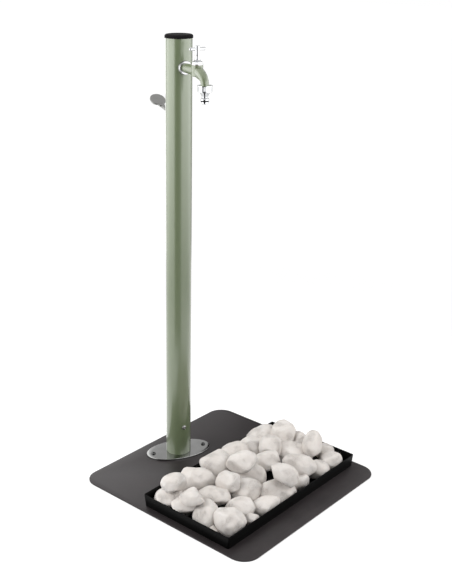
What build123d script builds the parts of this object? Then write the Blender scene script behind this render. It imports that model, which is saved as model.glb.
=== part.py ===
from build123d import *
from math import cos, pi, radians, sin, sqrt, tan
import os
import numpy as np

# A free-standing garden standpipe: a round column with a screw-down tap and a hose hook,
# bolted to a flat base plate that also carries a sheet tray of loose pebbles.
# Millimetres, +Z up. The origin is the centre of the base plate's underside,
# X runs along the tray and -Y points from the column to the tray.

# Base plate
plate_length = 500.0
plate_thickness = 3.0
plate_corner_radius = 40.0
plate_edge_round = 0.6

# Place of the column: from the plate's rear edge to its axis, from there to the tray's rear edge,
# and the turns about that axis
column_setback = 78.0
tray_setback = 112.0
column_yaw = -20.0
flange_yaw = -26.0

# Column tube
column_diameter = 60.0
column_wall = 2.0
column_length = 1012.0

# Oval flange with its welded spigot
flange_length = 164.0
flange_width = 90.0
flange_thickness = 4.0
flange_edge_round = 0.8
flange_bore = 26.0
flange_screw_spacing = 132.0
spigot_clearance = 0.25
spigot_wall = 2.5
spigot_height = 90.0
weld_leg = 2.5

# Button-head screws and the threaded inserts in the plate
screw_diameter = 6.0
screw_fit = 0.05
screw_hole_clearance = 0.3
screw_head_diameter = 10.5
screw_head_height = 3.3
screw_head_round = 2.4
screw_key_flats = 4.0
screw_key_depth = 2.0
insert_diameter = 9.0
insert_fit = 0.02
insert_recess = 0.4
column_screw_height = 74.0
column_screw_length = 12.0

# Column cap, a moulded plug
cap_diameter = 63.6
cap_head_height = 8.0
cap_edge_radius = 2.6
cap_plug_depth = 20.0
cap_plug_wall = 2.2
cap_plug_clearance = 1.2
cap_fin_reach = 0.9
cap_fin_thickness = 1.2
cap_fin_count = 3

# Compression joints at both ends of the riser pipe
pipe_diameter = 15.0
pipe_wall = 1.0
pipe_fit = 0.05
pipe_socket_depth = 7.0
fitting_thread_diameter = 22.0
fitting_thread_length = 10.0
fitting_bore = 13.0
nut_fit = 0.1
nut_flats = 27.0
nut_height = 17.0
olive_diameter = 18.6
olive_length = 5.0
olive_chamfer = 1.2

# Inlet adapter that stands in the flange
pipe_thread_diameter = 21.0
inlet_body_diameter = 25.0
inlet_floor_gap = 0.6
inlet_thread_depth = 14.4
inlet_hex_flats = 30.0
inlet_hex_height = 12.0

# Elbow behind the column's wall
elbow_barrel_diameter = 28.0
elbow_wall_gap = 0.1
elbow_back = 15.0
elbow_back_round = 6.0
elbow_leg_drop = 20.0
elbow_mouth = 12.0
tail_washer_thickness = 1.6

# Rosette and the tap's inlet
tap_drop = 62.5
tail_diameter = 20.9
rosette_diameter = 31.0
rosette_depth = 5.0
rosette_edge_round = 2.2
rosette_fit = 0.2
inlet_tube_diameter = 22.0
tap_inlet_bore = 13.0
wall_hole_clearance = 0.4

# Tap body: reaches are from the column's axis, rises from the inlet's axis
valve_reach = 87.0
spout_reach = 122.0
boss_diameter = 25.0
boss_rise = 12.5
chamber_drop = 11.6
spout_drop = 27.0
spout_diameter = 17.5
spout_bore = 13.0
collar_diameter = 26.2
collar_length = 7.5
lower_chamber_diameter = 14.0
lower_chamber_depth = 5.8
partition_thickness = 3.0
upper_chamber_diameter = 19.0
seat_bore = 11.0
seat_diameter = 15.2
seat_rise = 1.2
narrowing_share = 0.62

# Sections of the spout, from the chamber to the outlet: reach and rise of the outer and the inner
# edge and the half width, as shares of the spout's overhang, its drop and the boss's radius
spout_section_shares = [
    (-0.14, 0.40, -0.14, -0.44, 0.88),
    (0.34, 0.33, 0.23, -0.60, 0.84),
    (0.80, 0.03, 0.55, -0.70, 0.80),
    (1.10, -0.44, 0.71, -0.80, 0.74),
]
# Sections of the outlet passage: reach, rise, radius and slope, the first three as shares as above
passage_section_shares = [
    (0.09, 0.20, 0.32, 15),
    (0.40, 0.00, 0.35, 32),
    (0.71, -0.37, 0.40, 50),
    (0.95, -0.70, 0.44, 78),
]

# Valve: rises are from the inlet's axis at rest, with the valve shut
washer_gap = 0.05
seat_washer_diameter = 14.4
seat_washer_thickness = 3.0
jumper_diameter = 14.8
jumper_thickness = 2.0
jumper_stem_diameter = 5.8
jumper_stem_length = 6.8
stud_diameter = 3.0
stud_length = 6.2
washer_nut_flats = 5.5
washer_nut_height = 2.4
valve_lift = 4.0

# Bonnet
bonnet_washer_thickness = 0.8
bonnet_flange_diameter = 24.8
bonnet_flange_thickness = 2.0
bonnet_thread_length = 5.5
bonnet_thread_fit = 0.1
bonnet_skirt_bore = 15.6
bonnet_hex_flats = 21.0
bonnet_hex_height = 5.0
bonnet_bell_height = 6.5
bonnet_neck_diameter = 10.0
bonnet_neck_top = 32.5

# Spindle, its packing and the handle
running_fit = 0.05
spindle_gap = 0.2
spindle_thread_diameter = 9.6
spindle_thread_length = 10.0
spindle_stem_diameter = 7.0
packing_groove_rise = 27.5
packing_section = 1.9
packing_squeeze = 0.05
handle_gap = 0.3
handle_hub_diameter = 10.6
handle_hub_height = 18.7
handle_hub_round = 0.8
handle_square = 5.0
handle_square_rise = 3.6
handle_square_length = 13.2
handle_bar_length = 40.0
handle_bar_rise = 13.7
handle_bar_root_diameter = 5.3
handle_bar_end_diameter = 7.6
handle_top_diameter = 10.0
handle_top_height = 2.0
handle_screw_diameter = 3.0
handle_screw_length = 9.0

# Hose connector under the spout
union_nut_diameter = 30.4
union_rim_diameter = 33.0
union_rim_height = 1.4
union_nut_height = 14.0
union_overlap = 0.5
union_grip_count = 6
union_grip_diameter = 6.4
union_grip_bite = 1.7
union_grip_margin = 2.6
union_washer_thickness = 1.6
nozzle_flange_diameter = 25.0
nozzle_flange_thickness = 2.0
nozzle_root_diameter = 22.0
nozzle_neck_height = 2.8
nozzle_cone_length = 9.5
nozzle_waist_diameter = 12.2
nozzle_waist_length = 1.5
nozzle_flare_length = 3.7
nozzle_collar_diameter = 17.5
nozzle_collar_length = 2.6
nozzle_groove_length = 3.4
nozzle_tip_diameter = 14.8
nozzle_tip_length = 4.6
nozzle_tip_round = 1.4
nozzle_bore = 9.0
ring_section = 2.0
ring_outer_diameter = 17.0
ring_clearance = 0.1

# Hose hook behind the column
hook_drop = 172.0
hook_stem_diameter = 8.0
hook_thread_length = 11.0
hook_bend_reach = 44.0
hook_bend_radius = 20.0
hook_stem_slope = 11.0
hook_tab_reach = 84.0
hook_lap_length = 9.0
hook_tab_width = 14.0
hook_tab_length = 15.0
hook_lip_width = 38.0
hook_lip_length = 31.0
hook_lip_slope = 36.0
hook_plate_thickness = 3.0
hook_plate_bend = 2.5
hook_collar_diameter = 14.0
hook_collar_thickness = 3.0
hook_seat_gap = 0.05
hook_nut_flats = 13.0
hook_nut_height = 6.5

# Pebble tray, a sheet pan with sides that lean outwards
tray_length = 470.0
tray_width = 250.0
tray_height = 29.5
tray_wall = 1.5
tray_flare = 2.5
tray_corner_radius = 4.0
tray_rim_round = 0.4
tray_front_margin = 60.0

# Pebbles: each is a stack of egg-shaped rings, laid in the tray one after another
pebble_size = 60.0
pebble_gap = 0.25
pebble_map_step = 0.5
pebble_sides = 12
pebble_ring_shares = [(-1.0, 0.50), (-0.6, 0.86), (0.0, 1.0), (0.6, 0.86), (1.0, 0.50)]

# Each pebble's place in the tray as shares of half the floor, its length, width and thickness as
# shares of the pebble size, its turn, lean and roll in degrees, and its taper as a share of its width.
# The ones underneath come first
pebble_shares = [
    (-0.84, 0.78, 0.84, 0.70, 0.40, 8, 0, 0, 0.15),
    (-0.53, 0.74, 0.84, 0.70, 0.40, -29, 0, 0, 0.15),
    (-0.31, 0.70, 0.84, 0.70, 0.40, 24, 0, 0, 0.15),
    (0.00, 0.78, 0.84, 0.70, 0.40, -13, 0, 0, 0.15),
    (-0.81, 0.30, 0.84, 0.70, 0.40, 19, 0, 0, 0.15),
    (-0.59, 0.26, 0.84, 0.70, 0.40, -18, 0, 0, 0.15),
    (-0.28, 0.34, 0.84, 0.70, 0.40, 35, 0, 0, 0.15),
    (0.03, 0.30, 0.84, 0.70, 0.40, -2, 0, 0, 0.15),
    (0.25, 0.26, 0.84, 0.70, 0.40, -39, 0, 0, 0.15),
    (0.56, 0.34, 0.84, 0.70, 0.40, 14, 0, 0, 0.15),
    (0.87, 0.30, 0.84, 0.70, 0.40, -23, 0, 0, 0.15),
    (-0.95, -0.55, 0.40, 0.34, 0.32, -30, 0, 0, 0.10),
    (0.45, -0.32, 0.66, 0.58, 0.46, 20, 0, 0, 0.15),
    (-0.81, -0.74, 1.05, 1.06, 0.66, -138, 45, 5, -0.35),
    (-0.86, -0.25, 0.94, 0.78, 0.58, -138, 45, 12, 0.15),
    (-0.51, -0.53, 0.92, 0.70, 0.50, -48, 5, 32, 0.10),
    (-0.32, -0.80, 0.98, 0.64, 0.48, -48, -18, 34, 0.15),
    (-0.90, 0.15, 1.02, 0.68, 0.52, -48, 8, 30, 0.10),
    (-0.90, 0.56, 0.92, 0.72, 0.52, -50, 0, 32, 0.10),
    (0.09, -0.76, 0.54, 0.46, 0.42, -48, 0, 30, 0.10),
    (0.25, -0.74, 0.70, 0.56, 0.48, -48, -18, 35, 0.10),
    (0.55, -0.76, 0.82, 0.64, 0.52, -48, -10, 35, 0.10),
    (0.82, -0.74, 0.74, 0.60, 0.52, -48, 0, 32, 0.10),
    (-0.08, -0.67, 1.06, 0.84, 0.58, -48, -12, 38, 0.10),
    (-0.63, -0.03, 1.16, 0.84, 0.60, -48, 0, 30, 0.15),
    (-0.31, -0.24, 1.32, 0.82, 0.58, -48, -15, 40, 0.20),
    (-0.06, -0.00, 1.08, 0.92, 0.62, -48, -5, 40, 0.10),
    (-0.03, -0.76, 1.10, 0.80, 0.58, -48, 24, 38, 0.15),
    (0.36, -0.61, 1.26, 0.76, 0.60, -48, 18, 36, 0.20),
    (-0.56, -0.85, 0.44, 0.38, 0.36, -48, 0, 30, 0.10),
    (-0.91, -0.01, 0.84, 0.66, 0.52, -48, 0, 30, 0.10),
    (-0.42, -0.06, 0.86, 0.80, 0.58, -48, -20, 40, 0.20),
    (0.23, -0.03, 1.12, 0.88, 0.62, -48, 5, 40, 0.15),
    (-0.53, 0.52, 1.42, 0.98, 0.62, -48, 14, 38, -0.30),
    (-0.90, 0.47, 0.90, 0.76, 0.58, -52, -5, 38, 0.15),
    (-0.12, 0.09, 1.12, 0.82, 0.58, -48, -10, 38, 0.12),
    (-0.22, 0.59, 1.12, 1.02, 0.68, -48, 8, 45, 0.12),
    (0.64, -0.06, 1.28, 0.84, 0.62, -48, 5, 38, 0.15),
    (0.92, -0.47, 0.74, 0.60, 0.50, -138, 48, 10, 0.10),
    (0.45, 0.24, 1.00, 0.84, 0.62, -138, 48, -10, -0.15),
    (0.74, -0.40, 1.08, 0.78, 0.62, -138, 52, 15, 0.10),
    (0.84, 0.06, 0.76, 0.54, 0.48, -138, 50, 0, 0.10),
    (0.44, 0.69, 0.98, 0.78, 0.56, -48, -10, 38, 0.10),
    (0.23, 0.80, 0.96, 0.76, 0.55, -48, 0, 35, 0.10),
    (0.67, 0.74, 1.22, 0.90, 0.62, -48, -8, 36, 0.15),
    (0.74, 0.31, 1.15, 0.92, 0.66, -138, 50, 5, -0.10),
]

# Levels, places and radii that follow from the sizes above
plate_width = column_setback + tray_setback + tray_width + tray_front_margin
column_y = plate_width / 2 - column_setback
column_radius = column_diameter / 2
column_bore_radius = column_radius - column_wall
column_foot = plate_thickness + flange_thickness
column_top = column_foot + column_length
tap_height = column_top - tap_drop
hook_height = column_top - hook_drop
rosette_face = column_radius + rosette_depth
spigot_radius = column_bore_radius - spigot_clearance
os.makedirs("parts", exist_ok=True)

# Directions of the column's head: towards the tap, and to the tap's right
tap_way = Vector(sin(radians(column_yaw)), -cos(radians(column_yaw)), 0)
side_way = Vector(cos(radians(column_yaw)), sin(radians(column_yaw)), 0)
up_way = Vector(0, 0, 1)


# A point on the head's centre plane
def spot(reach, height):
    return Vector(0, column_y, 0) + tap_way * reach + up_way * height


# A horizontal plane at a height, centred at a reach from the column's axis
def level(height, reach=0.0):
    return Plane(origin=spot(reach, height), x_dir=side_way, z_dir=up_way)


# An upright plane that looks the way the tap points
def facing(reach, height):
    return Plane(origin=spot(reach, height), x_dir=side_way, z_dir=tap_way)


# The head's centre plane: local x is the distance from the axis at that reach, local y the height
def centre_plane(reach=0.0):
    return Plane(origin=spot(reach, 0), x_dir=tap_way, z_dir=side_way * -1)


# The upright axis at a reach
def upright(reach=0.0):
    return Axis(origin=spot(reach, 0), direction=up_way)


# A closed outline of radii and heights, ready to be turned about the upright axis at a reach
def turned_outline(reach, points):
    with BuildSketch(centre_plane(reach)) as outline:
        with BuildLine():
            Polyline(*points, close=True)
        make_face()
    return outline.sketch


# A square, hexagon or other regular outline across its flats
def flats_outline(plane, flats, sides=6):
    with BuildSketch(plane) as outline:
        RegularPolygon(radius=flats / 2, side_count=sides, major_radius=False)
    return outline.sketch


# A ring between two radii, drawn on a plane
def ring_outline(plane, outer_radius, inner_radius):
    with BuildSketch(plane) as outline:
        Circle(outer_radius)
        Circle(inner_radius, mode=Mode.SUBTRACT)
    return outline.sketch


# The place of each flange screw, as a plane at a height
def flange_screw_planes(height):
    turn = radians(flange_yaw)
    half = flange_screw_spacing / 2
    centres = [(side * half * cos(turn), column_y + side * half * sin(turn)) for side in (-1, 1)]
    return [Plane(origin=(x, y, height), x_dir=side_way, z_dir=up_way) for x, y in centres]


# The flange's own plane, turned with its oval
def flange_plane(height):
    turn = radians(flange_yaw)
    return Plane(origin=(0, column_y, height), x_dir=(cos(turn), sin(turn), 0), z_dir=up_way)


# Lines to sort by: the way the tap points, through the column's axis
head_line = Axis(origin=spot(0, 0), direction=tap_way)


# Base plate: a flat steel plate with rounded corners, a supply hole and two insert holes
with BuildPart() as base_plate:
    with BuildSketch():
        RectangleRounded(plate_length, plate_width, plate_corner_radius)
    extrude(amount=plate_thickness)
    fillet(base_plate.faces().filter_by(Axis.Z).edges(), plate_edge_round)
    with BuildSketch(level(0)):
        Circle(flange_bore / 2)
    extrude(amount=plate_thickness, mode=Mode.SUBTRACT)
    for plane in flange_screw_planes(0):
        with BuildSketch(plane):
            Circle(insert_diameter / 2 + insert_fit)
        extrude(amount=plate_thickness, mode=Mode.SUBTRACT)
base_plate.part.label = "base_plate"
export_step(base_plate.part, "parts/base_plate.step")

# Plate inserts: threaded steel inserts, pressed in from below and flush with the plate's top
with BuildPart() as plate_inserts:
    for plane in flange_screw_planes(insert_recess):
        with BuildSketch(plane):
            Circle(insert_diameter / 2)
            Circle(screw_diameter / 2 + screw_fit, mode=Mode.SUBTRACT)
        extrude(amount=plate_thickness - insert_recess)
plate_inserts.part.label = "plate_inserts"
export_step(plate_inserts.part, "parts/plate_inserts.step")

# Column flange: an oval plate with the spigot tube that the column slides over
with BuildPart() as column_flange:
    with BuildSketch(flange_plane(plate_thickness)):
        Ellipse(flange_length / 2, flange_width / 2)
    extrude(amount=flange_thickness)
    fillet(column_flange.faces().sort_by(Axis.Z)[-1].edges(), flange_edge_round)
    with BuildSketch(level(column_foot)):
        Circle(spigot_radius)
    extrude(amount=spigot_height)
    chamfer(column_flange.faces().sort_by(Axis.Z)[-1].edges(), spigot_wall / 3)
    extrude(ring_outline(level(column_foot + spigot_height), spigot_radius - spigot_wall, flange_bore / 2),
            amount=-spigot_height, mode=Mode.SUBTRACT)
    with BuildSketch(level(plate_thickness)):
        Circle(flange_bore / 2)
    extrude(amount=flange_thickness + spigot_height, mode=Mode.SUBTRACT)
    weld_points = [
        (spigot_radius - spigot_wall, column_foot),
        (spigot_radius - spigot_wall - weld_leg, column_foot),
        (spigot_radius - spigot_wall, column_foot + weld_leg),
    ]
    revolve(turned_outline(0, weld_points), axis=upright())
    for plane in flange_screw_planes(plate_thickness):
        with BuildSketch(plane):
            Circle(screw_diameter / 2 + screw_hole_clearance)
        extrude(amount=flange_thickness, mode=Mode.SUBTRACT)
    with BuildSketch(facing(0, column_foot + column_screw_height)):
        Circle(screw_diameter / 2 + screw_fit)
    extrude(amount=column_radius, mode=Mode.SUBTRACT)
column_flange.part.label = "column_flange"
export_step(column_flange.part, "parts/column_flange.step")

# Flange screws: button heads with a hexagon socket
with BuildPart() as flange_screws:
    for plane in flange_screw_planes(column_foot):
        with BuildSketch(plane):
            Circle(screw_head_diameter / 2)
        extrude(amount=screw_head_height)
    crowns = flange_screws.faces().filter_by(Axis.Z).group_by(Axis.Z)[-1]
    fillet(crowns.edges(), screw_head_round)
    for plane in flange_screw_planes(column_foot + screw_head_height):
        extrude(flats_outline(plane, screw_key_flats), amount=-screw_key_depth, mode=Mode.SUBTRACT)
    for plane in flange_screw_planes(column_foot):
        with BuildSketch(plane):
            Circle(screw_diameter / 2)
        extrude(amount=insert_recess - column_foot)
flange_screws.part.label = "flange_screws"
export_step(flange_screws.part, "parts/flange_screws.step")

# Column tube, with the holes for the tap's tail, the hook's thread and the column screw
with BuildPart() as column_tube:
    extrude(ring_outline(level(column_foot), column_radius, column_bore_radius), amount=column_length)
    with BuildSketch(facing(0, tap_height)):
        Circle(tail_diameter / 2 + wall_hole_clearance)
    extrude(amount=column_diameter, mode=Mode.SUBTRACT)
    with BuildSketch(facing(0, column_foot + column_screw_height)):
        Circle(screw_diameter / 2 + screw_hole_clearance)
    extrude(amount=column_diameter, mode=Mode.SUBTRACT)
    with BuildSketch(facing(0, hook_height)):
        Circle(hook_stem_diameter / 2 + wall_hole_clearance)
    extrude(amount=-column_diameter, mode=Mode.SUBTRACT)
column_tube.part.label = "column_tube"
export_step(column_tube.part, "parts/column_tube.step")

# Column screw: holds the column on its spigot
with BuildPart() as column_screw:
    screw_level = column_foot + column_screw_height
    with BuildSketch(facing(column_radius, screw_level)):
        Circle(screw_head_diameter / 2)
    extrude(amount=screw_head_height)
    fillet(column_screw.edges().sort_by(head_line)[-1], screw_head_round)
    extrude(flats_outline(facing(column_radius + screw_head_height, screw_level), screw_key_flats),
            amount=-screw_key_depth, mode=Mode.SUBTRACT)
    with BuildSketch(facing(column_radius, screw_level)):
        Circle(screw_diameter / 2)
    extrude(amount=-column_screw_length)
column_screw.part.label = "column_screw"
export_step(column_screw.part, "parts/column_screw.step")

# Column cap: a round head on a hollow plug whose thin fins grip the tube
with BuildPart() as column_cap:
    with BuildSketch(level(column_top)):
        Circle(cap_diameter / 2)
    extrude(amount=cap_head_height)
    fillet(column_cap.faces().sort_by(Axis.Z)[-1].edges(), cap_edge_radius)
    plug_radius = column_bore_radius - cap_plug_clearance
    extrude(ring_outline(level(column_top), plug_radius, plug_radius - cap_plug_wall), amount=-cap_plug_depth)
    for count in range(cap_fin_count):
        fin_drop = cap_plug_depth * (count + 1) / (cap_fin_count + 1)
        fin = ring_outline(level(column_top - fin_drop), plug_radius + cap_fin_reach,
                           plug_radius - cap_plug_wall)
        extrude(fin, amount=cap_fin_thickness)
column_cap.part.label = "column_cap"
export_step(column_cap.part, "parts/column_cap.step")

# Inlet adapter: its hexagon rests on the flange and its threaded mouth opens at the floor
adapter_seat = column_foot + inlet_hex_height
adapter_top = adapter_seat + fitting_thread_length
with BuildPart() as inlet_adapter:
    with BuildSketch(level(inlet_floor_gap)):
        Circle(inlet_body_diameter / 2)
    extrude(amount=column_foot - inlet_floor_gap)
    extrude(flats_outline(level(column_foot), inlet_hex_flats), amount=inlet_hex_height)
    with BuildSketch(level(adapter_seat)):
        Circle(fitting_thread_diameter / 2)
    extrude(amount=fitting_thread_length)
    with BuildSketch(level(inlet_floor_gap)):
        Circle(pipe_thread_diameter / 2)
    extrude(amount=inlet_thread_depth, mode=Mode.SUBTRACT)
    with BuildSketch(level(inlet_floor_gap)):
        Circle(fitting_bore / 2)
    extrude(amount=adapter_top, mode=Mode.SUBTRACT)
    with BuildSketch(level(adapter_top)):
        Circle(pipe_diameter / 2 + pipe_fit)
    extrude(amount=-pipe_socket_depth, mode=Mode.SUBTRACT)
inlet_adapter.part.label = "inlet_adapter"
export_step(inlet_adapter.part, "parts/inlet_adapter.step")

# Riser pipe: from the adapter's socket to the elbow's socket
elbow_thread_top = tap_height - elbow_leg_drop
elbow_foot = elbow_thread_top - fitting_thread_length
with BuildPart() as riser_pipe:
    riser_foot = adapter_top - pipe_socket_depth
    extrude(ring_outline(level(riser_foot), pipe_diameter / 2, pipe_diameter / 2 - pipe_wall),
            amount=elbow_foot + pipe_socket_depth - riser_foot)
riser_pipe.part.label = "riser_pipe"
export_step(riser_pipe.part, "parts/riser_pipe.step")

# Olives and nuts of the two compression joints; the upper pair is the lower one turned over
joint_mouths = [(adapter_top, 1), (elbow_foot, -1)]
with BuildPart() as riser_olives:
    for mouth, way in joint_mouths:
        olive_points = [
            (pipe_diameter / 2 + pipe_fit, mouth),
            (olive_diameter / 2 - olive_chamfer, mouth),
            (olive_diameter / 2, mouth + way * olive_chamfer),
            (olive_diameter / 2, mouth + way * (olive_length - olive_chamfer)),
            (olive_diameter / 2 - olive_chamfer, mouth + way * olive_length),
            (pipe_diameter / 2 + pipe_fit, mouth + way * olive_length),
        ]
        revolve(turned_outline(0, olive_points), axis=upright())
riser_olives.part.label = "riser_olives"
export_step(riser_olives.part, "parts/riser_olives.step")

with BuildPart() as riser_nuts:
    for mouth, way in joint_mouths:
        shoulder = mouth + way * olive_length
        nut_foot = mouth - way * (fitting_thread_length - nut_fit)
        extrude(flats_outline(level(nut_foot), nut_flats), amount=way * nut_height)
        cavity = (nut_foot, shoulder, fitting_thread_diameter / 2 + nut_fit)
        mouth_hole = (shoulder, nut_foot + way * nut_height, pipe_diameter / 2 + nut_fit)
        for start, end, radius in (cavity, mouth_hole):
            with BuildSketch(level(start)):
                Circle(radius)
            extrude(amount=end - start, mode=Mode.SUBTRACT)
riser_nuts.part.label = "riser_nuts"
export_step(riser_nuts.part, "parts/riser_nuts.step")

# Tap elbow: its saddle end bears on the inside of the column's wall
with BuildPart() as tap_elbow:
    with BuildSketch(facing(-elbow_back, tap_height)):
        Circle(elbow_barrel_diameter / 2)
    extrude(amount=elbow_back + column_radius)
    fillet(tap_elbow.faces().sort_by(head_line)[0].edges(), elbow_back_round)
    with BuildSketch(level(tap_height - elbow_barrel_diameter)):
        Circle(column_bore_radius - elbow_wall_gap)
    extrude(amount=2 * elbow_barrel_diameter, mode=Mode.INTERSECT)
    with BuildSketch(level(tap_height)):
        Circle(fitting_thread_diameter / 2)
    extrude(amount=elbow_foot - tap_height)
    with BuildSketch(facing(elbow_mouth, tap_height)):
        Circle(pipe_thread_diameter / 2)
    extrude(amount=column_radius, mode=Mode.SUBTRACT)
    with BuildSketch(facing(0, tap_height)):
        Circle(fitting_bore / 2)
    extrude(amount=column_radius, mode=Mode.SUBTRACT)
    with BuildSketch(level(elbow_foot)):
        Circle(fitting_bore / 2)
    extrude(amount=tap_height - elbow_foot, mode=Mode.SUBTRACT)
    with BuildSketch(level(elbow_foot)):
        Circle(pipe_diameter / 2 + pipe_fit)
    extrude(amount=pipe_socket_depth, mode=Mode.SUBTRACT)
tap_elbow.part.label = "tap_elbow"
export_step(tap_elbow.part, "parts/tap_elbow.step")

# Tail washer: fibre ring between the elbow's thread end and the tap's tail
tail_reach = elbow_mouth + tail_washer_thickness
with BuildPart() as tail_washer:
    extrude(ring_outline(facing(elbow_mouth, tap_height), tail_diameter / 2, tap_inlet_bore / 2),
            amount=tail_washer_thickness)
tail_washer.part.label = "tail_washer"
export_step(tail_washer.part, "parts/tail_washer.step")

# Rosette: a bell-edged ring whose back is cut to the column's curve
with BuildPart() as tap_rosette:
    with BuildSketch(facing(0, tap_height)):
        Circle(rosette_diameter / 2)
    extrude(amount=rosette_face)
    fillet(tap_rosette.faces().sort_by(head_line)[-1].edges(), rosette_edge_round)
    with BuildSketch(facing(0, tap_height)):
        Circle(tail_diameter / 2 + rosette_fit)
    extrude(amount=rosette_face, mode=Mode.SUBTRACT)
    with BuildSketch(level(tap_height - rosette_diameter)):
        Circle(column_radius + pipe_fit)
    extrude(amount=2 * rosette_diameter, mode=Mode.SUBTRACT)
tap_rosette.part.label = "tap_rosette"
export_step(tap_rosette.part, "parts/tap_rosette.step")

# Tap body: threaded tail, inlet tube, valve chamber, curved spout and threaded collar
overhang = spout_reach - valve_reach
boss_radius = boss_diameter / 2
spout_radius = spout_diameter / 2
chamber_floor = tap_height - chamber_drop
boss_top = tap_height + boss_rise
spout_end = tap_height - spout_drop


# The slope and the middle of a spout section, from its outer and inner edges in the centre plane
def spout_section(outer, inner, half_width):
    middle = ((outer[0] + inner[0]) / 2, (outer[1] + inner[1]) / 2)
    depth = sqrt((outer[0] - inner[0]) ** 2 + (outer[1] - inner[1]) ** 2)
    run = (outer[1] - inner[1]) / depth
    fall = (outer[0] - inner[0]) / depth
    normal = tap_way * run - up_way * fall
    return Plane(origin=spot(*middle), x_dir=side_way, z_dir=normal), half_width, depth / 2


spout_sections = []
for outer_run, outer_rise, inner_run, inner_rise, width in spout_section_shares:
    spout_sections.append(spout_section(
        (valve_reach + outer_run * overhang, tap_height + outer_rise * spout_drop),
        (valve_reach + inner_run * overhang, tap_height + inner_rise * spout_drop),
        width * boss_radius,
    ))
spout_sections.append(spout_section(
    (spout_reach + spout_radius, spout_end), (spout_reach - spout_radius, spout_end), spout_radius))

with BuildPart() as tap_body:
    for plane, half_width, half_depth in spout_sections:
        with BuildSketch(plane):
            Ellipse(half_width, half_depth)
    loft()
    with BuildSketch(level(chamber_floor, valve_reach)):
        Circle(boss_radius)
    extrude(amount=boss_top - chamber_floor)
    with BuildSketch(facing(rosette_face, tap_height)):
        Circle(inlet_tube_diameter / 2)
    extrude(amount=valve_reach - rosette_face)
    with BuildSketch(facing(tail_reach, tap_height)):
        Circle(tail_diameter / 2)
    extrude(amount=rosette_face - tail_reach)
    with BuildSketch(level(spout_end, spout_reach)):
        Circle(collar_diameter / 2)
    extrude(amount=-collar_length)
    # Waterway in: a bore that narrows and drops into the lower chamber, under the seat
    with BuildSketch(facing(tail_reach, tap_height)):
        Circle(tap_inlet_bore / 2)
    extrude(amount=valve_reach - boss_diameter * narrowing_share - tail_reach, mode=Mode.SUBTRACT)
    chamber_top = tap_height - partition_thickness
    passage_height = chamber_top - lower_chamber_depth / 2
    with BuildSketch(facing(valve_reach - boss_diameter * narrowing_share, tap_height)):
        Circle(tap_inlet_bore / 2)
    with BuildSketch(facing(valve_reach - lower_chamber_diameter / 4, passage_height)):
        Circle(lower_chamber_depth / 2)
    loft(mode=Mode.SUBTRACT)
    with BuildSketch(level(chamber_top, valve_reach)):
        Circle(lower_chamber_diameter / 2)
    extrude(amount=-lower_chamber_depth, mode=Mode.SUBTRACT)
    # Seat, and the upper chamber that the bonnet closes
    with BuildSketch(level(chamber_top, valve_reach)):
        Circle(seat_bore / 2)
    extrude(amount=partition_thickness + seat_rise, mode=Mode.SUBTRACT)
    extrude(ring_outline(level(tap_height, valve_reach), upper_chamber_diameter / 2, seat_diameter / 2),
            amount=seat_rise, mode=Mode.SUBTRACT)
    with BuildSketch(level(tap_height + seat_rise, valve_reach)):
        Circle(upper_chamber_diameter / 2)
    extrude(amount=boss_rise, mode=Mode.SUBTRACT)
    # Waterway out: from the upper chamber down the spout and through the collar
    for run, rise, size, slope in passage_section_shares:
        middle = spot(valve_reach + run * overhang, tap_height + rise * spout_drop)
        downhill = tap_way * cos(radians(slope)) - up_way * sin(radians(slope))
        with BuildSketch(Plane(origin=middle, x_dir=side_way, z_dir=downhill)):
            Circle(size * boss_radius)
    with BuildSketch(Plane(origin=spot(spout_reach, spout_end), x_dir=side_way, z_dir=-up_way)):
        Circle(spout_bore / 2)
    loft(mode=Mode.SUBTRACT)
    with BuildSketch(level(spout_end, spout_reach)):
        Circle(spout_bore / 2)
    extrude(amount=-collar_length, mode=Mode.SUBTRACT)
tap_body.part.label = "tap_body"
export_step(tap_body.part, "parts/tap_body.step")

# Bonnet washer: fibre ring between the boss and the bonnet
bonnet_foot = boss_top + bonnet_washer_thickness
with BuildPart() as bonnet_washer:
    washer = ring_outline(level(boss_top, valve_reach), bonnet_flange_diameter / 2,
                          upper_chamber_diameter / 2)
    extrude(washer, amount=bonnet_washer_thickness)
bonnet_washer.part.label = "bonnet_washer"
export_step(bonnet_washer.part, "parts/bonnet_washer.step")

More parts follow.
